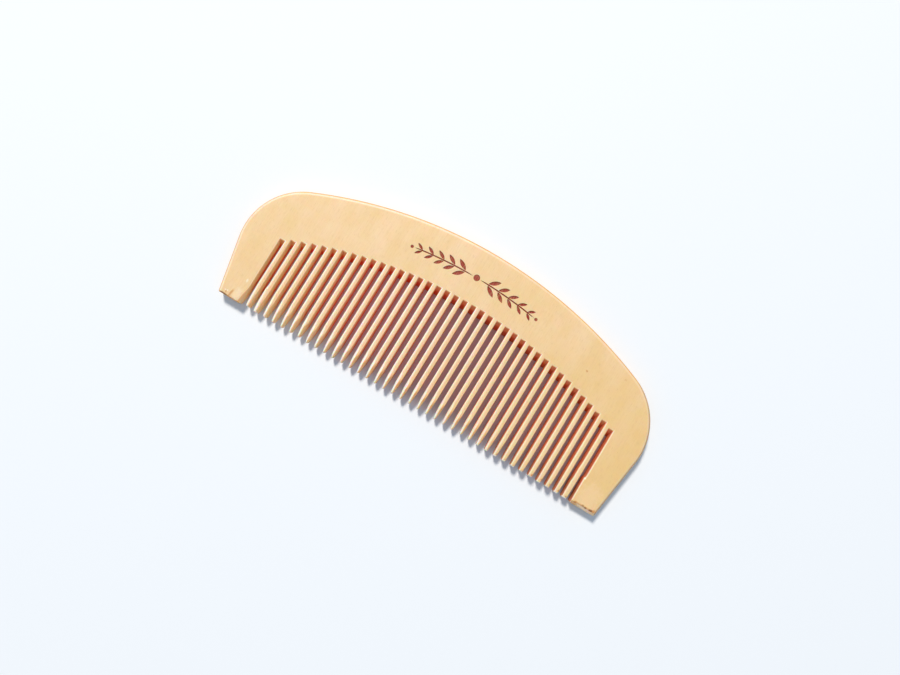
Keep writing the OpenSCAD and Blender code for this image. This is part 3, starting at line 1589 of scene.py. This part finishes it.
class Effect(Tree):
    """A shader effect as a node group, which reads a place and puts out numbers."""

    def __init__(self, name: str, outputs: tuple[str, ...], inputs: dict[str, Value] | None = None) -> None:
        """Makes the group.

        Args:
            name: the effect's name.
            outputs: the names of the numbers that it puts out.
            inputs: its inputs beside the place, each with its own value: a number, or a tuple for a vector.
        """
        super().__init__(bpy.data.node_groups.new(name, "ShaderNodeTree"))
        face = self.tree.interface
        for label, value in {"Place": (0.0, 0.0, 0.0), **(inputs or {})}.items():
            kind = "NodeSocketVector" if isinstance(value, tuple) else "NodeSocketFloat"
            face.new_socket(label, in_out="INPUT", socket_type=kind).default_value = value
        for label in outputs:
            face.new_socket(label, in_out="OUTPUT", socket_type="NodeSocketFloat")
        self.source = self.node("NodeGroupInput").outputs
        self.result = self.node("NodeGroupOutput").inputs

    def texture(self, noise: Noise, place: Value | None = None) -> Socket:
        """Returns the value of a noise.

        Args:
            noise: the noise.
            place: where it is read, or None for the effect's own place.

        Returns:
            The value.
        """
        at = self.node("ShaderNodeMapping", Vector=place or self.source["Place"], Scale=noise.scale)
        return self.node(
            "ShaderNodeTexNoise", Vector=at.outputs[0], Scale=1.0, Detail=noise.detail, Roughness=noise.rough
        ).outputs[0]

    def give(self, name: str, value: Socket) -> None:
        """Puts out a number."""
        self.put(self.result[name], value)

    def into(self, paint: Paint, **inputs: Value) -> bpy.types.NodeOutputs:
        """Places the effect in a material and returns its outputs."""
        return paint.node("ShaderNodeGroup", {"node_tree": self.tree}, Place=paint.place, **inputs).outputs


class Paint(Tree):
    """A material's tree, with the values that its layers of colour follow."""

    def __init__(self, name: str, colour: Colour) -> None:
        """Makes the material.

        Args:
            name: the material's name.
            colour: the colour under all the layers.
        """
        self.material = bpy.data.materials.new(name)
        self.material.use_nodes = True
        self.material.node_tree.nodes.clear()
        super().__init__(self.material.node_tree)
        source = self.node("ShaderNodeTexCoord").outputs
        self.place, self.normal = source["Object"], source["Normal"]
        self.along, self.rise, self.level = self.split(self.place)
        self.facing = self.split(self.normal)
        self.colour: Value = colour

    def mark(self, mark: Mark) -> Socket:
        """Returns a mesh attribute's value."""
        return self.node("ShaderNodeAttribute", {"attribute_name": mark.value}).outputs["Fac"]

    def mix(self, share: Value, first: Value, second: Value) -> Socket:
        """Returns a mix of two colours.

        Args:
            share: the second colour's share.
            first: the first colour.
            second: the second colour.

        Returns:
            The mixed colour.
        """
        made = self.node("ShaderNodeMix", {"data_type": "RGBA"})
        self.put(made.inputs["Factor"], share)
        for socket, value in ((made.inputs[6], first), (made.inputs[7], second)):
            self.put(socket, (*value, 1.0) if isinstance(value, tuple) else value)
        return made.outputs[2]

    def cover(self, share: Value, colour: Value) -> None:
        """Covers a share of the present colour with another one."""
        self.colour = self.mix(share, self.colour, colour)


@dataclass(frozen=True)
class Grain:
    """Grain along the teeth: broad tone, fine fibres and short pores."""

    stripes: Noise = Noise((190.0, 16.0, 190.0), 2.0, 0.4)
    stripe_share: float = 0.95
    clouds: Noise = Noise((230.0, 170.0, 230.0), 3.0, 0.55)
    cloud_share: float = 1.1
    patches: Noise = Noise((38.0, 30.0, 38.0), 1.0)
    patch_share: float = 1.0
    tone: float = 0.46
    # The tone drifts across the board: more tan towards the right end and towards the foot
    drift: Pair = (2.9, -6.5)
    right_drift: Band = (0.035, 0.062, 0.0, 0.2)
    fibres: Noise = Noise((2400.0, 95.0, 2400.0), 3.0, 0.6)
    fibre_band: Band = (0.34, 0.74)
    pores: Noise = Noise((7000.0, 520.0, 7000.0), 1.0)
    pore_band: Band = (0.60, 0.72)

    def effect(self) -> Effect:
        """Builds the grain as an effect.

        Returns:
            The group, with the outputs Tone, Fibre and Pores.
        """
        group = Effect("Wood grain", ("Tone", "Fibre", "Pores"))
        x, y, _ = group.split(group.source["Place"])
        drift = group.scaled(x, self.drift[0], group.times(y, self.drift[1]))
        tone = group.plus(group.plus(drift, group.ramp(x, *self.right_drift)), self.tone)
        for noise_kind, share in (
            (self.stripes, self.stripe_share),
            (self.clouds, self.cloud_share),
            (self.patches, self.patch_share),
        ):
            tone = group.scaled(group.minus(group.texture(noise_kind), 0.5), share, tone)
        group.give("Tone", tone)
        group.give("Fibre", group.ramp(group.texture(self.fibres), *self.fibre_band))
        group.give("Pores", group.ramp(group.texture(self.pores), *self.pore_band))
        return group


@dataclass(frozen=True)
class SawMarks:
    """Scratches of the saw blade: arcs round its axle, broken up by noise. Lengths are in metres."""

    axle_y: float = -0.026
    axle_z: float = 0.0213
    arcs: Noise = Noise((2600.0, 0.0, 0.0), 2.0)
    arc_band: Band = (0.35, 0.68)
    patches: Noise = Noise((300.0, 300.0, 300.0), 2.0)
    patch_band: Band = (0.25, 0.7, 0.4, 1.0)

    def effect(self) -> Effect:
        """Builds the scratches as an effect.

        Returns:
            The group, with the output Height.
        """
        group = Effect("Saw marks", ("Height",))
        _, y, z = group.split(group.source["Place"])
        back = group.minus(y, self.axle_y)
        up = group.minus(z, self.axle_z)
        radius = group.math("SQRT", group.scaled(up, up, group.times(back, back)))
        arcs = group.texture(self.arcs, group.combine(radius, 0.0, 0.0))
        patches = group.ramp(group.texture(self.patches), *self.patch_band)
        group.give("Height", group.times(group.ramp(arcs, *self.arc_band), patches))
        return group


@dataclass(frozen=True)
class TipMarks:
    """Dots, streaks of painted shade, and raw wood with a painted highlight near the ends of the teeth.
    Lengths are in metres.
    """

    cuts: SawCuts
    dot_x: Pair = (0.0002, 0.0003)
    dot_rise: Pair = (0.0009, 0.0008)
    dot_squash: float = 0.7
    dot_fade: Band = (0.00042, 0.0001)
    dot_chance: Band = (0.1, 0.5, 0.2, 0.9)
    dot_from: Band = (0.016, 0.036)
    # Painted shade in streaks on the right half of the middle teeth
    streak_x: float = 0.00028
    streak_fade: Band = (0.00034, 0.00008)
    streak_low: Band = (0.0012, 0.0024)
    streak_high: Band = (0.0076, 0.005)
    streak_middle: float = 0.003
    streak_spread: Band = (0.032, 0.022, 0.0, 0.75)
    bare_rise: Band = (0.0009, 0.0004, 0.0, 0.8)
    # Painted highlight on the left half of the tips, reaching highest on the left of the row
    highlight_side: Band = (0.0002, -0.0002)
    highlight_until: Band = (0.04, 0.02)
    short_rise: Band = (0.004, 0.001, 0.0, 0.85)
    long_rise: Band = (0.007, 0.002, 0.0, 0.95)
    long_until: Band = (0.0, -0.02)
    bare_level: Band = (0.0028, 0.0044)
    face_depth: Pair = (0.0009, 0.0004)
    row_end: float = 0.0004

    def effect(self) -> Effect:
        """Builds the marks as an effect.

        Returns:
            The group, with the outputs Dot, Shade streak and End.
        """
        cuts = self.cuts
        group = Effect("Tooth ends", ("Dot", "Streak", "End"))
        x, y, z = group.split(group.source["Place"])
        rise = group.plus(y, cuts.board.height / 2 * MM)
        leaned = group.times(group.minus(rise, cuts.lean_h * MM), -math.tan(cuts.lean))
        straight = group.minus(group.plus(x, leaned), cuts.shift * MM)
        tooth = group.over(straight, cuts.pitch * MM)
        across = group.times(group.minus(group.math("FRACT", tooth), 0.5), cuts.pitch * MM)
        top = group.ramp(z, *(cuts.board.thick * MM - depth for depth in self.face_depth))
        half_row = cuts.half_row * MM
        in_row = group.ramp(group.absolute(straight), half_row, half_row - self.row_end)
        dot = self._dot(group, tooth, across, rise, straight)
        shade_streak = self._shade_streak(group, across, rise, straight)
        bare_and_highlight = self._bare_and_highlight(group, across, rise, straight)
        group.give("Dot", group.times(dot, top, in_row))
        group.give("Streak", group.times(shade_streak, top))
        group.give("End", group.times(bare_and_highlight, group.ramp(z, *self.bare_level), in_row))
        return group

    def _dot(self, group: Effect, tooth: Socket, across: Socket, rise: Socket, straight: Socket) -> Socket:
        """Returns the mask of a dot near the end of some of the teeth at the right.

        Args:
            group: the effect in the making.
            tooth: the place in the row, counted in teeth.
            across: the distance from the middle of the tooth.
            rise: the height above the foot line.
            straight: the place in the row.

        Returns:
            The mask.
        """
        number = group.math("FLOOR", tooth)
        white = group.node("ShaderNodeTexWhiteNoise", {"noise_dimensions": "1D"}, W=number).outputs
        chance = group.node("ShaderNodeSeparateColor", Color=white["Color"]).outputs
        off_x = group.minus(across, group.scaled(chance[0], self.dot_x[1], self.dot_x[0]))
        off_y = group.minus(rise, group.scaled(chance[1], self.dot_rise[1], self.dot_rise[0]))
        squares = group.scaled(off_x, off_x, group.times(off_y, self.dot_squash, off_y))
        near = group.ramp(group.math("SQRT", squares), *self.dot_fade)
        chosen = group.ramp(chance[2], *self.dot_chance)
        return group.times(near, chosen, group.ramp(straight, *self.dot_from))

    def _shade_streak(self, group: Effect, across: Socket, rise: Socket, straight: Socket) -> Socket:
        """Returns the mask of the painted shade streaks on the right half of the middle teeth.

        Args:
            group: the effect in the making.
            across: the distance from the middle of the tooth.
            rise: the height above the foot line.
            straight: the place in the row.

        Returns:
            The mask.
        """
        beside = group.ramp(group.absolute(group.minus(across, self.streak_x)), *self.streak_fade)
        part = group.times(group.ramp(rise, *self.streak_low), group.ramp(rise, *self.streak_high))
        off_middle = group.absolute(group.minus(straight, self.streak_middle))
        return group.times(beside, part, group.ramp(off_middle, *self.streak_spread))

    def _bare_and_highlight(self, group: Effect, across: Socket, rise: Socket, straight: Socket) -> Socket:
        """Returns the mask of the raw wood at every end, with a painted highlight reaching higher on the
        left half.

        Args:
            group: the effect in the making.
            across: the distance from the middle of the tooth.
            rise: the height above the foot line.
            straight: the place in the row.

        Returns:
            The mask.
        """
        left = group.times(group.ramp(across, *self.highlight_side), group.ramp(straight, *self.highlight_until))
        long_end = group.times(group.ramp(rise, *self.long_rise), group.ramp(straight, *self.long_until))
        left_end = group.larger(long_end, group.ramp(rise, *self.short_rise))
        return group.larger(group.ramp(rise, *self.bare_rise), group.times(left, left_end))


@dataclass(frozen=True)
class Stain:
    """A soft stain with a ragged outline round a place."""

    outline: Noise = Noise((1500.0, 1100.0, 1500.0), 3.0, 0.6)
    raggedness: float = 1.2
    fade: Band = (1.1, 0.4)
    reach_z: float = 0.0012

    def effect(self) -> Effect:
        """Builds the stain as an effect.

        Returns:
            The group, with the output Mask.
        """
        own = {"Middle": (0.0, 0.0, 0.0), "Reach": (MM, MM, MM), "Turn": 0.0, "Strength": 1.0}
        group = Effect("Stain", ("Mask",), own)
        place, middle, reach, turn, strength = (group.source[name] for name in ("Place", *own))
        turned = group.node(
            "ShaderNodeVectorRotate", {"rotation_type": "Z_AXIS"}, Vector=place, Center=middle, Angle=turn
        ).outputs[0]
        away = group.vector("DIVIDE", group.vector("SUBTRACT", turned, middle), reach)
        ragged = group.minus(group.texture(self.outline), 0.5)
        edge = group.scaled(ragged, self.raggedness, group.measure("LENGTH", away))
        group.give("Mask", group.times(group.ramp(edge, *self.fade), strength))
        return group


@dataclass(frozen=True)
class Spot:
    """A stain, a chip or a band of painted light on the front face: its middle, reach, strength, colour and
    turn.
    """

    middle: Pair
    reach: Pair
    strength: float
    colour: Colour
    turn: float = 0.0


@dataclass(frozen=True)
class WoodFinish:
    """Pale, close-grained wood, sanded on its faces, with saw scorch and painted shade in the cuts, and
    painted light and shade by how each surface faces the lamp.

    Each band holds the two limits between which a share changes, and then the share at either limit.
    Bands of places and heights are in metres from the frame's origin. The others are of a normal's part.
    """

    cuts: SawCuts
    pale: Colour = (0.87, 0.635, 0.385)
    tan: Colour = (0.81, 0.565, 0.25)
    fibre: Colour = (0.74, 0.49, 0.25)
    fibre_share: float = 0.24
    # Colour of the pores, also used for the painted shade on the right rim
    pore_and_rim_shade: Colour = (0.55, 0.32, 0.15)
    pore_share: float = 0.28
    # Side walls in two copies by how they face the lamp; the paler one, for walls facing away, is painted
    # light
    wall: Colour = (0.66, 0.36, 0.14)
    lee_wall_painted_light: Colour = (0.86, 0.62, 0.42)
    wall_band: Band = (0.85, 0.3, 0.0, 0.75)
    # Direction away from the lamp, which the painted light and shade of this finish follow
    lee: Triple = (0.64, -0.77, 0.0)
    lee_band: Band = (-0.05, 0.4)
    end_grain: Colour = (0.90, 0.58, 0.34)
    end_band: Band = (0.45, 0.95, 0.0, 0.6)

    sawn: Colour = (0.98, 0.71, 0.37)
    scratch_share: float = 0.3
    # Painted light: the floors of the cuts, which face away from the lamp, get a brighter orange
    root: Colour = (1.0, 0.40, 0.17)
    root_band: Band = (-0.3, -0.8)
    # Saw scorch with painted shade in the cuts: darker deeper down, redder on the left, dark brown near the
    # tips
    scorch_and_shade: Colour = (0.74, 0.15, 0.05)
    red_scorch_and_shade: Colour = (0.92, 0.10, 0.035)
    red_scorch_and_shade_band: Band = (-0.04, 0.02)
    scorch_and_shade_band: Band = (0.0033, 0.0017, 0.0, 0.92)
    scorch_and_shade_shift: float = 0.0017
    wall_shift: float = 0.25
    left_shift: Band = (-0.055, -0.015, 0.0, 0.85)
    foot_band: Band = (-0.018, -0.027)
    foot_spared: Band = (-0.015, -0.05, 0.0, -0.75)
    foot_shade: float = 0.5

    # Paler wood on the teeth's flats, and painted light on the right foot's bevel
    fresh_wood_and_light: Colour = (0.95, 0.80, 0.60)
    fresh_band: Band = (0.0, 0.035, 0.15, 0.1)
    # Orange painted shade: on the right half of each tooth and in streaks near the tips
    amber_shade: Colour = (0.86, 0.42, 0.13)
    amber_shade_band: Band = (0.0, 0.035, 0.6, 0.15)
    # Worn edges and facets: a painted highlight towards the lamp, painted shade away from it
    wear_and_highlight: Colour = (0.99, 0.94, 0.89)
    mellow: Colour = (0.97, 0.57, 0.25)
    wear_and_light_band: Band = (-0.02, 0.03, 1.0, 0.5)
    fibre_wear: float = 0.2
    carved_light_share: float = 0.85
    darkened: Colour = (0.68, 0.33, 0.07)
    rim_tone: float = 0.85
    rim_until: Band = (0.0665, 0.064)
    # Where the painted shade line of the right rim lies: along the board, by facing and on the rounding
    right_rim_shade: Band = (0.062, 0.066, 0.0, 0.9)
    right_facing: Band = (0.15, 0.4)
    rim_below: Band = (0.94, 0.84)
    rim_above: Band = (0.25, 0.45)

    bare_and_highlight: Colour = (0.97, 0.90, 0.80)
    rust: Colour = (0.62, 0.27, 0.07)
    # Dark brown of the stains, and of the painted shade in the cuts near the tips
    umber_stain_and_shade: Colour = (0.28, 0.09, 0.03)
    burnt: Colour = (0.33, 0.018, 0.004)
    fibre_soot: float = 0.25

    roughness: float = 0.46
    fibre_roughness: float = 0.12
    sawn_roughness: float = 0.28
    burnt_roughness: float = 0.2
    relief: float = 0.55
    relief_depth: float = 0.00004
    pore_height: float = -0.6
    fibre_height: float = -0.35
    scratch_height: float = 2.4
    glow: float = 0.6
    glow_reach: Colour = (1.0, 0.42, 0.16)
    glow_scale: float = 0.0015

    def spots(self) -> tuple[Spot, ...]:
        """Returns the stains and chips of the front face, and a band of painted light on the right foot's
        bevel.

        Returns:
            The places, in the order in which they are painted.
        """
        return (
            Spot((67.0, -24.0), (4.6, 6.0), 0.5, self.pale),
            # Painted light: a paler band along the right foot's bevel, which faces away from the lamp
            Spot((67.2, -28.05), (4.8, 0.75), 0.6, self.fresh_wood_and_light),
            Spot((67.4, -27.35), (4.6, 0.4), 0.6, self.rust),
            Spot((69.6, -27.35), (0.8, 0.5), 0.9, self.umber_stain_and_shade, -0.1),
            Spot((67.75, -27.5), (0.55, 0.42), 0.75, self.umber_stain_and_shade),
            Spot((66.7, -27.25), (0.55, 0.42), 0.6, self.umber_stain_and_shade),
            Spot((70.6, -27.2), (0.5, 0.9), 0.8, self.rust),
            Spot((64.0, -27.5), (0.7, 0.6), 1.0, self.rust),
            Spot((-68.6, -28.2), (1.7, 0.45), 0.8, self.umber_stain_and_shade),
            Spot((-68.2, -27.3), (0.4, 0.45), 0.7, self.rust),
            Spot((-67.9, -26.7), (0.32, 0.3), 0.8, self.bare_and_highlight),
            Spot((-68.65, -26.8), (0.32, 0.3), 0.6, self.bare_and_highlight),
            Spot((-66.55, -26.9), (0.45, 2.0), 0.75, self.rust, 0.18),
            Spot((-64.6, -26.2), (1.6, 3.0), 0.25, self.bare_and_highlight),
            Spot((46.18, 10.69), (0.5, 0.42), 0.75, self.rust),
            Spot((58.46, 14.65), (0.45, 0.4), 0.25, self.rust),
            Spot((62.85, -19.4), (0.45, 0.4), 1.0, self.bare_and_highlight),
            Spot((-57.15, -19.35), (0.35, 0.35), 1.0, self.bare_and_highlight),
            Spot((-64.05, -20.7), (0.4, 0.75), 0.5, self.bare_and_highlight),
        )

    def material(self) -> bpy.types.Material:
        """Builds the material, one layer of colour over another.

        Returns:
            The material of the whole comb.
        """
        paint = Paint("sanded_comb_wood", self.pale)
        grain = Grain().effect().into(paint)
        scratches = SawMarks().effect().into(paint)["Height"]
        # How far each surface faces away from the lamp, which steers all the painted light and shade below
        lee = paint.ramp(paint.measure("DOT_PRODUCT", paint.normal, self.lee), *self.lee_band)
        self._paint_wood(paint, grain, lee)
        self._paint_cuts(paint, scratches)
        self._paint_teeth(paint)
        self._paint_edges(paint, grain, lee)
        self._paint_marks(paint)
        soot = paint.scaled(grain["Fibre"], -self.fibre_soot, 1.0)
        paint.cover(paint.times(paint.mark(Mark.ENGRAVED), soot), self.burnt)
        self._finish(paint, grain, scratches)
        return paint.material

    def _paint_wood(self, paint: Paint, grain: bpy.types.NodeOutputs, lee: Socket) -> None:
        """Paints the sanded wood: its grain, its side walls with painted light and shade, and the ends of
        its fibres.

        Args:
            paint: the material in the making.
            grain: the grain's outputs.
            lee: how far the surface faces away from the light.
        """
        paint.cover(grain["Tone"], self.tan)
        paint.cover(paint.times(grain["Fibre"], self.fibre_share), self.fibre)
        paint.cover(paint.times(grain["Pores"], self.pore_share), self.pore_and_rim_shade)
        upright = paint.ramp(paint.absolute(paint.facing[2]), *self.wall_band)
        # Painted light and shade: darker orange on walls facing the lamp, paler on walls facing away from it
        paint.cover(upright, paint.mix(lee, self.wall, self.lee_wall_painted_light))
        paint.cover(paint.ramp(paint.absolute(paint.facing[1]), *self.end_band), self.end_grain)

    def _paint_cuts(self, paint: Paint, scratches: Socket) -> None:
        """Paints the saw cuts: pale sawn wood near the front face, and below it saw scorch with painted
        shade, darker deeper down.

        Args:
            paint: the material in the making.
            scratches: the height of the saw's scratches.
        """
        sawn = paint.mix(paint.times(scratches, self.scratch_share), self.sawn, self.fibre)
        # Painted light: a brighter orange on the floors of the cuts, which face away from the lamp
        sawn = paint.mix(paint.ramp(paint.facing[1], *self.root_band), sawn, self.root)
        # The dark starts higher up on walls that face left, except near the left end of the row
        sideways = paint.absolute(paint.facing[0])
        leftwards = paint.minus(paint.facing[0], sideways)
        shift = paint.times(leftwards, paint.ramp(paint.along, *self.left_shift))
        shift = paint.scaled(sideways, self.wall_shift, shift)
        level = paint.scaled(shift, self.scorch_and_shade_shift, paint.level)
        # Near the tips the painted shade in the cuts turns dark brown, and is weaker on the left
        foot = paint.ramp(paint.rise, *self.foot_band)
        spared = paint.times(foot, paint.ramp(paint.along, *self.foot_spared))
        # Saw scorch with painted shade: darker deeper in the cut, redder on the left of the row, dark brown
        # near the tips
        deep = paint.times(paint.ramp(level, *self.scorch_and_shade_band), paint.plus(spared, 1.0))
        scorch_and_shade = paint.mix(paint.ramp(paint.along, *self.red_scorch_and_shade_band), self.red_scorch_and_shade, self.scorch_and_shade)
        scorch_and_shade = paint.mix(paint.times(foot, self.foot_shade), scorch_and_shade, self.umber_stain_and_shade)
        paint.cover(paint.mark(Mark.SAWN), paint.mix(deep, sawn, scorch_and_shade))

    def _paint_teeth(self, paint: Paint) -> None:
        """Paints the fronts of the teeth: paler wood along the middle and orange painted shade on the right
        half.

        Args:
            paint: the material in the making.
        """
        for mark, band, colour in (
            (Mark.FLAT, self.fresh_band, self.fresh_wood_and_light),
            (Mark.MELLOW, self.amber_shade_band, self.amber_shade),
        ):
            paint.cover(paint.times(paint.mark(mark), paint.ramp(paint.along, *band)), colour)

    def _paint_edges(self, paint: Paint, grain: bpy.types.NodeOutputs, lee: Socket) -> None:
        """Paints worn edges and facets with painted light and shade, the outer rim darker, and painted shade
        on the right rim.

        Args:
            paint: the material in the making.
            grain: the grain's outputs.
            lee: how far the surface faces away from the light.
        """
        # Worn edges, facets and the left of each tooth's flat: painted highlight towards the lamp, painted
        # shade away from it
        worn = paint.times(paint.mark(Mark.EDGE), paint.scaled(grain["Fibre"], -self.fibre_wear, 1.0))
        worn = paint.larger(worn, paint.times(paint.mark(Mark.CARVED), self.carved_light_share))
        worn = paint.times(worn, paint.ramp(paint.along, *self.wear_and_light_band))
        until = paint.ramp(paint.along, *self.rim_until)
        paint.cover(worn, paint.mix(paint.times(lee, until), self.wear_and_highlight, self.mellow))
        paint.cover(paint.times(paint.mark(Mark.RIM), self.rim_tone, until), self.darkened)
        # Painted shade: a brown line on the rounding of the right end, which faces away from the lamp
        right = paint.times(
            paint.ramp(paint.facing[2], *self.rim_below),
            paint.ramp(paint.facing[2], *self.rim_above),
            paint.ramp(paint.facing[0], *self.right_facing),
            paint.ramp(paint.along, *self.right_rim_shade),
        )
        paint.cover(right, self.pore_and_rim_shade)

    def _paint_marks(self, paint: Paint) -> None:
        """Paints the marks near the ends of the teeth, partly painted light and shade, and the stains of the
        front face.

        Args:
            paint: the material in the making.
        """
        ends = TipMarks(self.cuts).effect().into(paint)
        for name, colour in (("End", self.bare_and_highlight), ("Streak", self.amber_shade), ("Dot", self.rust)):
            paint.cover(ends[name], colour)
        stain = Stain()
        effect = stain.effect()
        for spot in self.spots():
            marked = effect.into(
                paint,
                Middle=(*(v * MM for v in spot.middle), self.cuts.board.thick * MM),
                Reach=(*(v * MM for v in spot.reach), stain.reach_z),
                Turn=spot.turn,
                Strength=spot.strength,
            )
            paint.cover(marked["Mask"], spot.colour)

    def _finish(self, paint: Paint, grain: bpy.types.NodeOutputs, scratches: Socket) -> None:
        """Joins the colour, the roughness and the fine relief in the shader.

        Args:
            paint: the material in the making.
            grain: the grain's outputs.
            scratches: the height of the saw's scratches.
        """
        sawn = paint.mark(Mark.SAWN)
        height = paint.times(grain["Fibre"], self.fibre_height)
        height = paint.scaled(grain["Pores"], self.pore_height, height)
        height = paint.plus(height, paint.times(scratches, sawn, self.scratch_height))
        bump = paint.node("ShaderNodeBump", Height=height, Strength=self.relief, Distance=self.relief_depth)
        rough = paint.scaled(grain["Fibre"], self.fibre_roughness, self.roughness)
        rough = paint.scaled(sawn, self.sawn_roughness, rough)
        rough = paint.scaled(paint.mark(Mark.ENGRAVED), self.burnt_roughness, rough)
        shader = paint.node(
            "ShaderNodeBsdfPrincipled",
            Base_Color=paint.colour,
            Roughness=rough,
            Normal=bump.outputs[0],
            Subsurface_Weight=self.glow,
            Subsurface_Radius=self.glow_reach,
            Subsurface_Scale=self.glow_scale,
        )
        paint.node("ShaderNodeOutputMaterial", Surface=shader.outputs[0])


# The comb


@dataclass
class Comb:
    """The whole comb in one piece of wood."""

    board: Board
    cuts: SawCuts
    sprig: Sprig
    finish: WoodFinish
    slips: tuple[Slip, ...] = (
        Slip(38, 8.7, -0.32),
        Slip(37, 11.8, -0.12),
        Slip(37, 6.6, -0.12),
        Slip(1, 9.0, -0.22),
    )
    sharp_angle: float = math.radians(32)

    def build(self) -> bpy.types.Object:
        """Builds the finished comb.

        Returns:
            The comb's object.
        """
        wood = self.finish.material()
        comb = Surround(self.board, self.cuts).build()
        LOG.info("guards and rim: %d faces", len(comb.data.polygons))
        ToothRow(self.cuts).add_to(comb, wood)
        self._slip(comb)
        LOG.info("with %d teeth: %d faces", self.cuts.count - 1, len(comb.data.polygons))
        self.sprig.add_to(comb, wood)
        self._close_faces(comb, wood)
        self._shade(comb)
        LOG.info("with its faces and sprig: %d faces", len(comb.data.polygons))
        return comb

    def _slip(self, comb: bpy.types.Object) -> None:
        """Moves the walls where the saw slipped.

        Args:
            comb: the comb's object.
        """
        mesh = comb.data
        flat = np.empty(len(mesh.vertices) * 3, np.float32)
        mesh.vertices.foreach_get("co", flat)
        foot = np.array((0, self.board.height / 2, 0))
        points = flat.reshape(-1, 3) / MM + foot
        for slip in self.slips:
            slip.push(self.cuts, points)
        mesh.vertices.foreach_set("co", ((points - foot) * MM).astype(np.float32).ravel())
        mesh.update()

    def _close_faces(self, comb: bpy.types.Object, wood: bpy.types.Material) -> None:
        """Fills the flat of both faces between the rim, the roots and the engraving.

        Args:
            comb: the comb's object.
            wood: its finish.
        """
        mesh = bmesh.new()
        mesh.from_mesh(comb.data)
        near = self.board.thick * MM / 4
        for level, up in ((self.board.thick * MM, 1), (0.0, -1)):
            rim = [
                e for e in mesh.edges
                if e.is_boundary and all(abs(v.co.z - level) < near for v in e.verts)
            ]
            bmesh.ops.triangle_fill(mesh, edges=rim, use_beauty=True, normal=Vector((0, 0, up)))
        left = sum(not e.is_manifold for e in mesh.edges)
        LOG.info("open edges left: %d", left)
        bmesh.ops.recalc_face_normals(mesh, faces=mesh.faces)
        mesh.to_mesh(comb.data)
        mesh.free()
        comb.data.materials.clear()
        comb.data.materials.append(wood)

    def _shade(self, comb: bpy.types.Object) -> None:
        """Shades the rounded parts smoothly and keeps the flat parts flat.

        Args:
            comb: the comb's object.
        """
        mesh = comb.data
        mesh.polygons.foreach_set("use_smooth", [True] * len(mesh.polygons))
        mesh.set_sharp_from_angle(angle=self.sharp_angle)
        weighted = comb.modifiers.new("flat faces", "WEIGHTED_NORMAL")
        weighted.keep_sharp = True
        bake(comb)


# Studio


@dataclass(frozen=True)
class Studio:
    """Plain pale floor, soft light from the upper left, and the camera of the picture.

    The camera's eye is in millimetres, and all other lengths are in metres.
    """

    eye: Triple = (9.951, -13.743, 224.339)
    right: Triple = (0.85836, 0.51303, -0.00344)
    up: Triple = (-0.51192, 0.85691, 0.06039)
    focal_px: float = 675.79
    sensor: float = 36.0
    nearest: float = 0.005
    floor_size: float = 6.0
    floor_drop: float = 0.00002
    floor_colour: Colour = (0.84, 0.865, 0.90)
    floor_roughness: float = 0.7
    key_way: Triple = (-0.52, 0.62, 1.08)
    key_distance: float = 4.0
    key_size: float = 0.8
    key_power: float = 149.0
    key_colour: Colour = (1.0, 0.94, 0.84)
    sky: Colour = (0.68, 0.82, 1.0)
    sky_strength: float = 0.5

    def build(self) -> None:
        """Builds the floor, the lights and the camera."""
        self._floor()
        self._lights()
        self._camera()

    def _floor(self) -> None:
        """Builds the floor just under the comb."""
        mesh = bpy.data.meshes.new("floor")
        half = self.floor_size / 2
        plan = ((-half, -half), (half, -half), (half, half), (-half, half))
        corners = [(x, y, -self.floor_drop) for x, y in plan]
        mesh.from_pydata(corners, [], [(0, 1, 2, 3)])
        floor = linked(mesh)
        paint = bpy.data.materials.new("pale_floor")
        paint.use_nodes = True
        shader = paint.node_tree.nodes["Principled BSDF"]
        shader.inputs["Base Color"].default_value = (*self.floor_colour, 1)
        shader.inputs["Roughness"].default_value = self.floor_roughness
        mesh.materials.append(paint)

    def _lights(self) -> None:
        """Builds the key lamp and the pale blue surroundings."""
        lamp = bpy.data.lights.new("key", "AREA")
        lamp.shape = "DISK"
        lamp.size = self.key_size
        lamp.energy = self.key_power
        lamp.color = self.key_colour
        key = bpy.data.objects.new("key", lamp)
        bpy.context.scene.collection.objects.link(key)
        way = Vector(self.key_way).normalized()
        key.location = way * self.key_distance
        key.rotation_euler = way.to_track_quat("Z", "Y").to_euler()
        world = bpy.data.worlds.new("surroundings")
        bpy.context.scene.world = world
        world.use_nodes = True
        background = world.node_tree.nodes["Background"]
        background.inputs["Color"].default_value = (*self.sky, 1)
        background.inputs["Strength"].default_value = self.sky_strength
        bpy.context.scene.view_settings.view_transform = "Standard"

    def _camera(self) -> None:
        """Builds the camera."""
        lens = bpy.data.cameras.new("camera")
        lens.sensor_width = self.sensor
        lens.lens = self.focal_px / IMAGE_SIZE[0] * self.sensor
        lens.clip_start = self.nearest
        camera = bpy.data.objects.new("camera", lens)
        bpy.context.scene.collection.objects.link(camera)
        right = Vector(self.right).normalized()
        back = right.cross(Vector(self.up)).normalized()
        turn = Matrix((right, back.cross(right), back)).transposed()
        camera.matrix_world = Matrix.Translation(Vector(self.eye) * MM) @ turn.to_4x4()
        bpy.context.scene.camera = camera


def main() -> None:
    """Builds the studio and the comb."""
    logging.basicConfig(level=logging.INFO, format="%(name)s: %(message)s")
    Studio().build()
    low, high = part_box("comb")
    board = Board(
        length=(high.x - low.x) / MM,
        height=-2 * low.y / MM,
        thick=(high.z - low.z) / MM,
    )
    cuts = SawCuts(board)
    comb = Comb(board, cuts, Sprig(board), WoodFinish(cuts)).build()
    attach(comb, "root")
    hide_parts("comb")
    LOG.info("comb: %d points", len(comb.data.vertices))


if __name__ == "__main__":
    main()
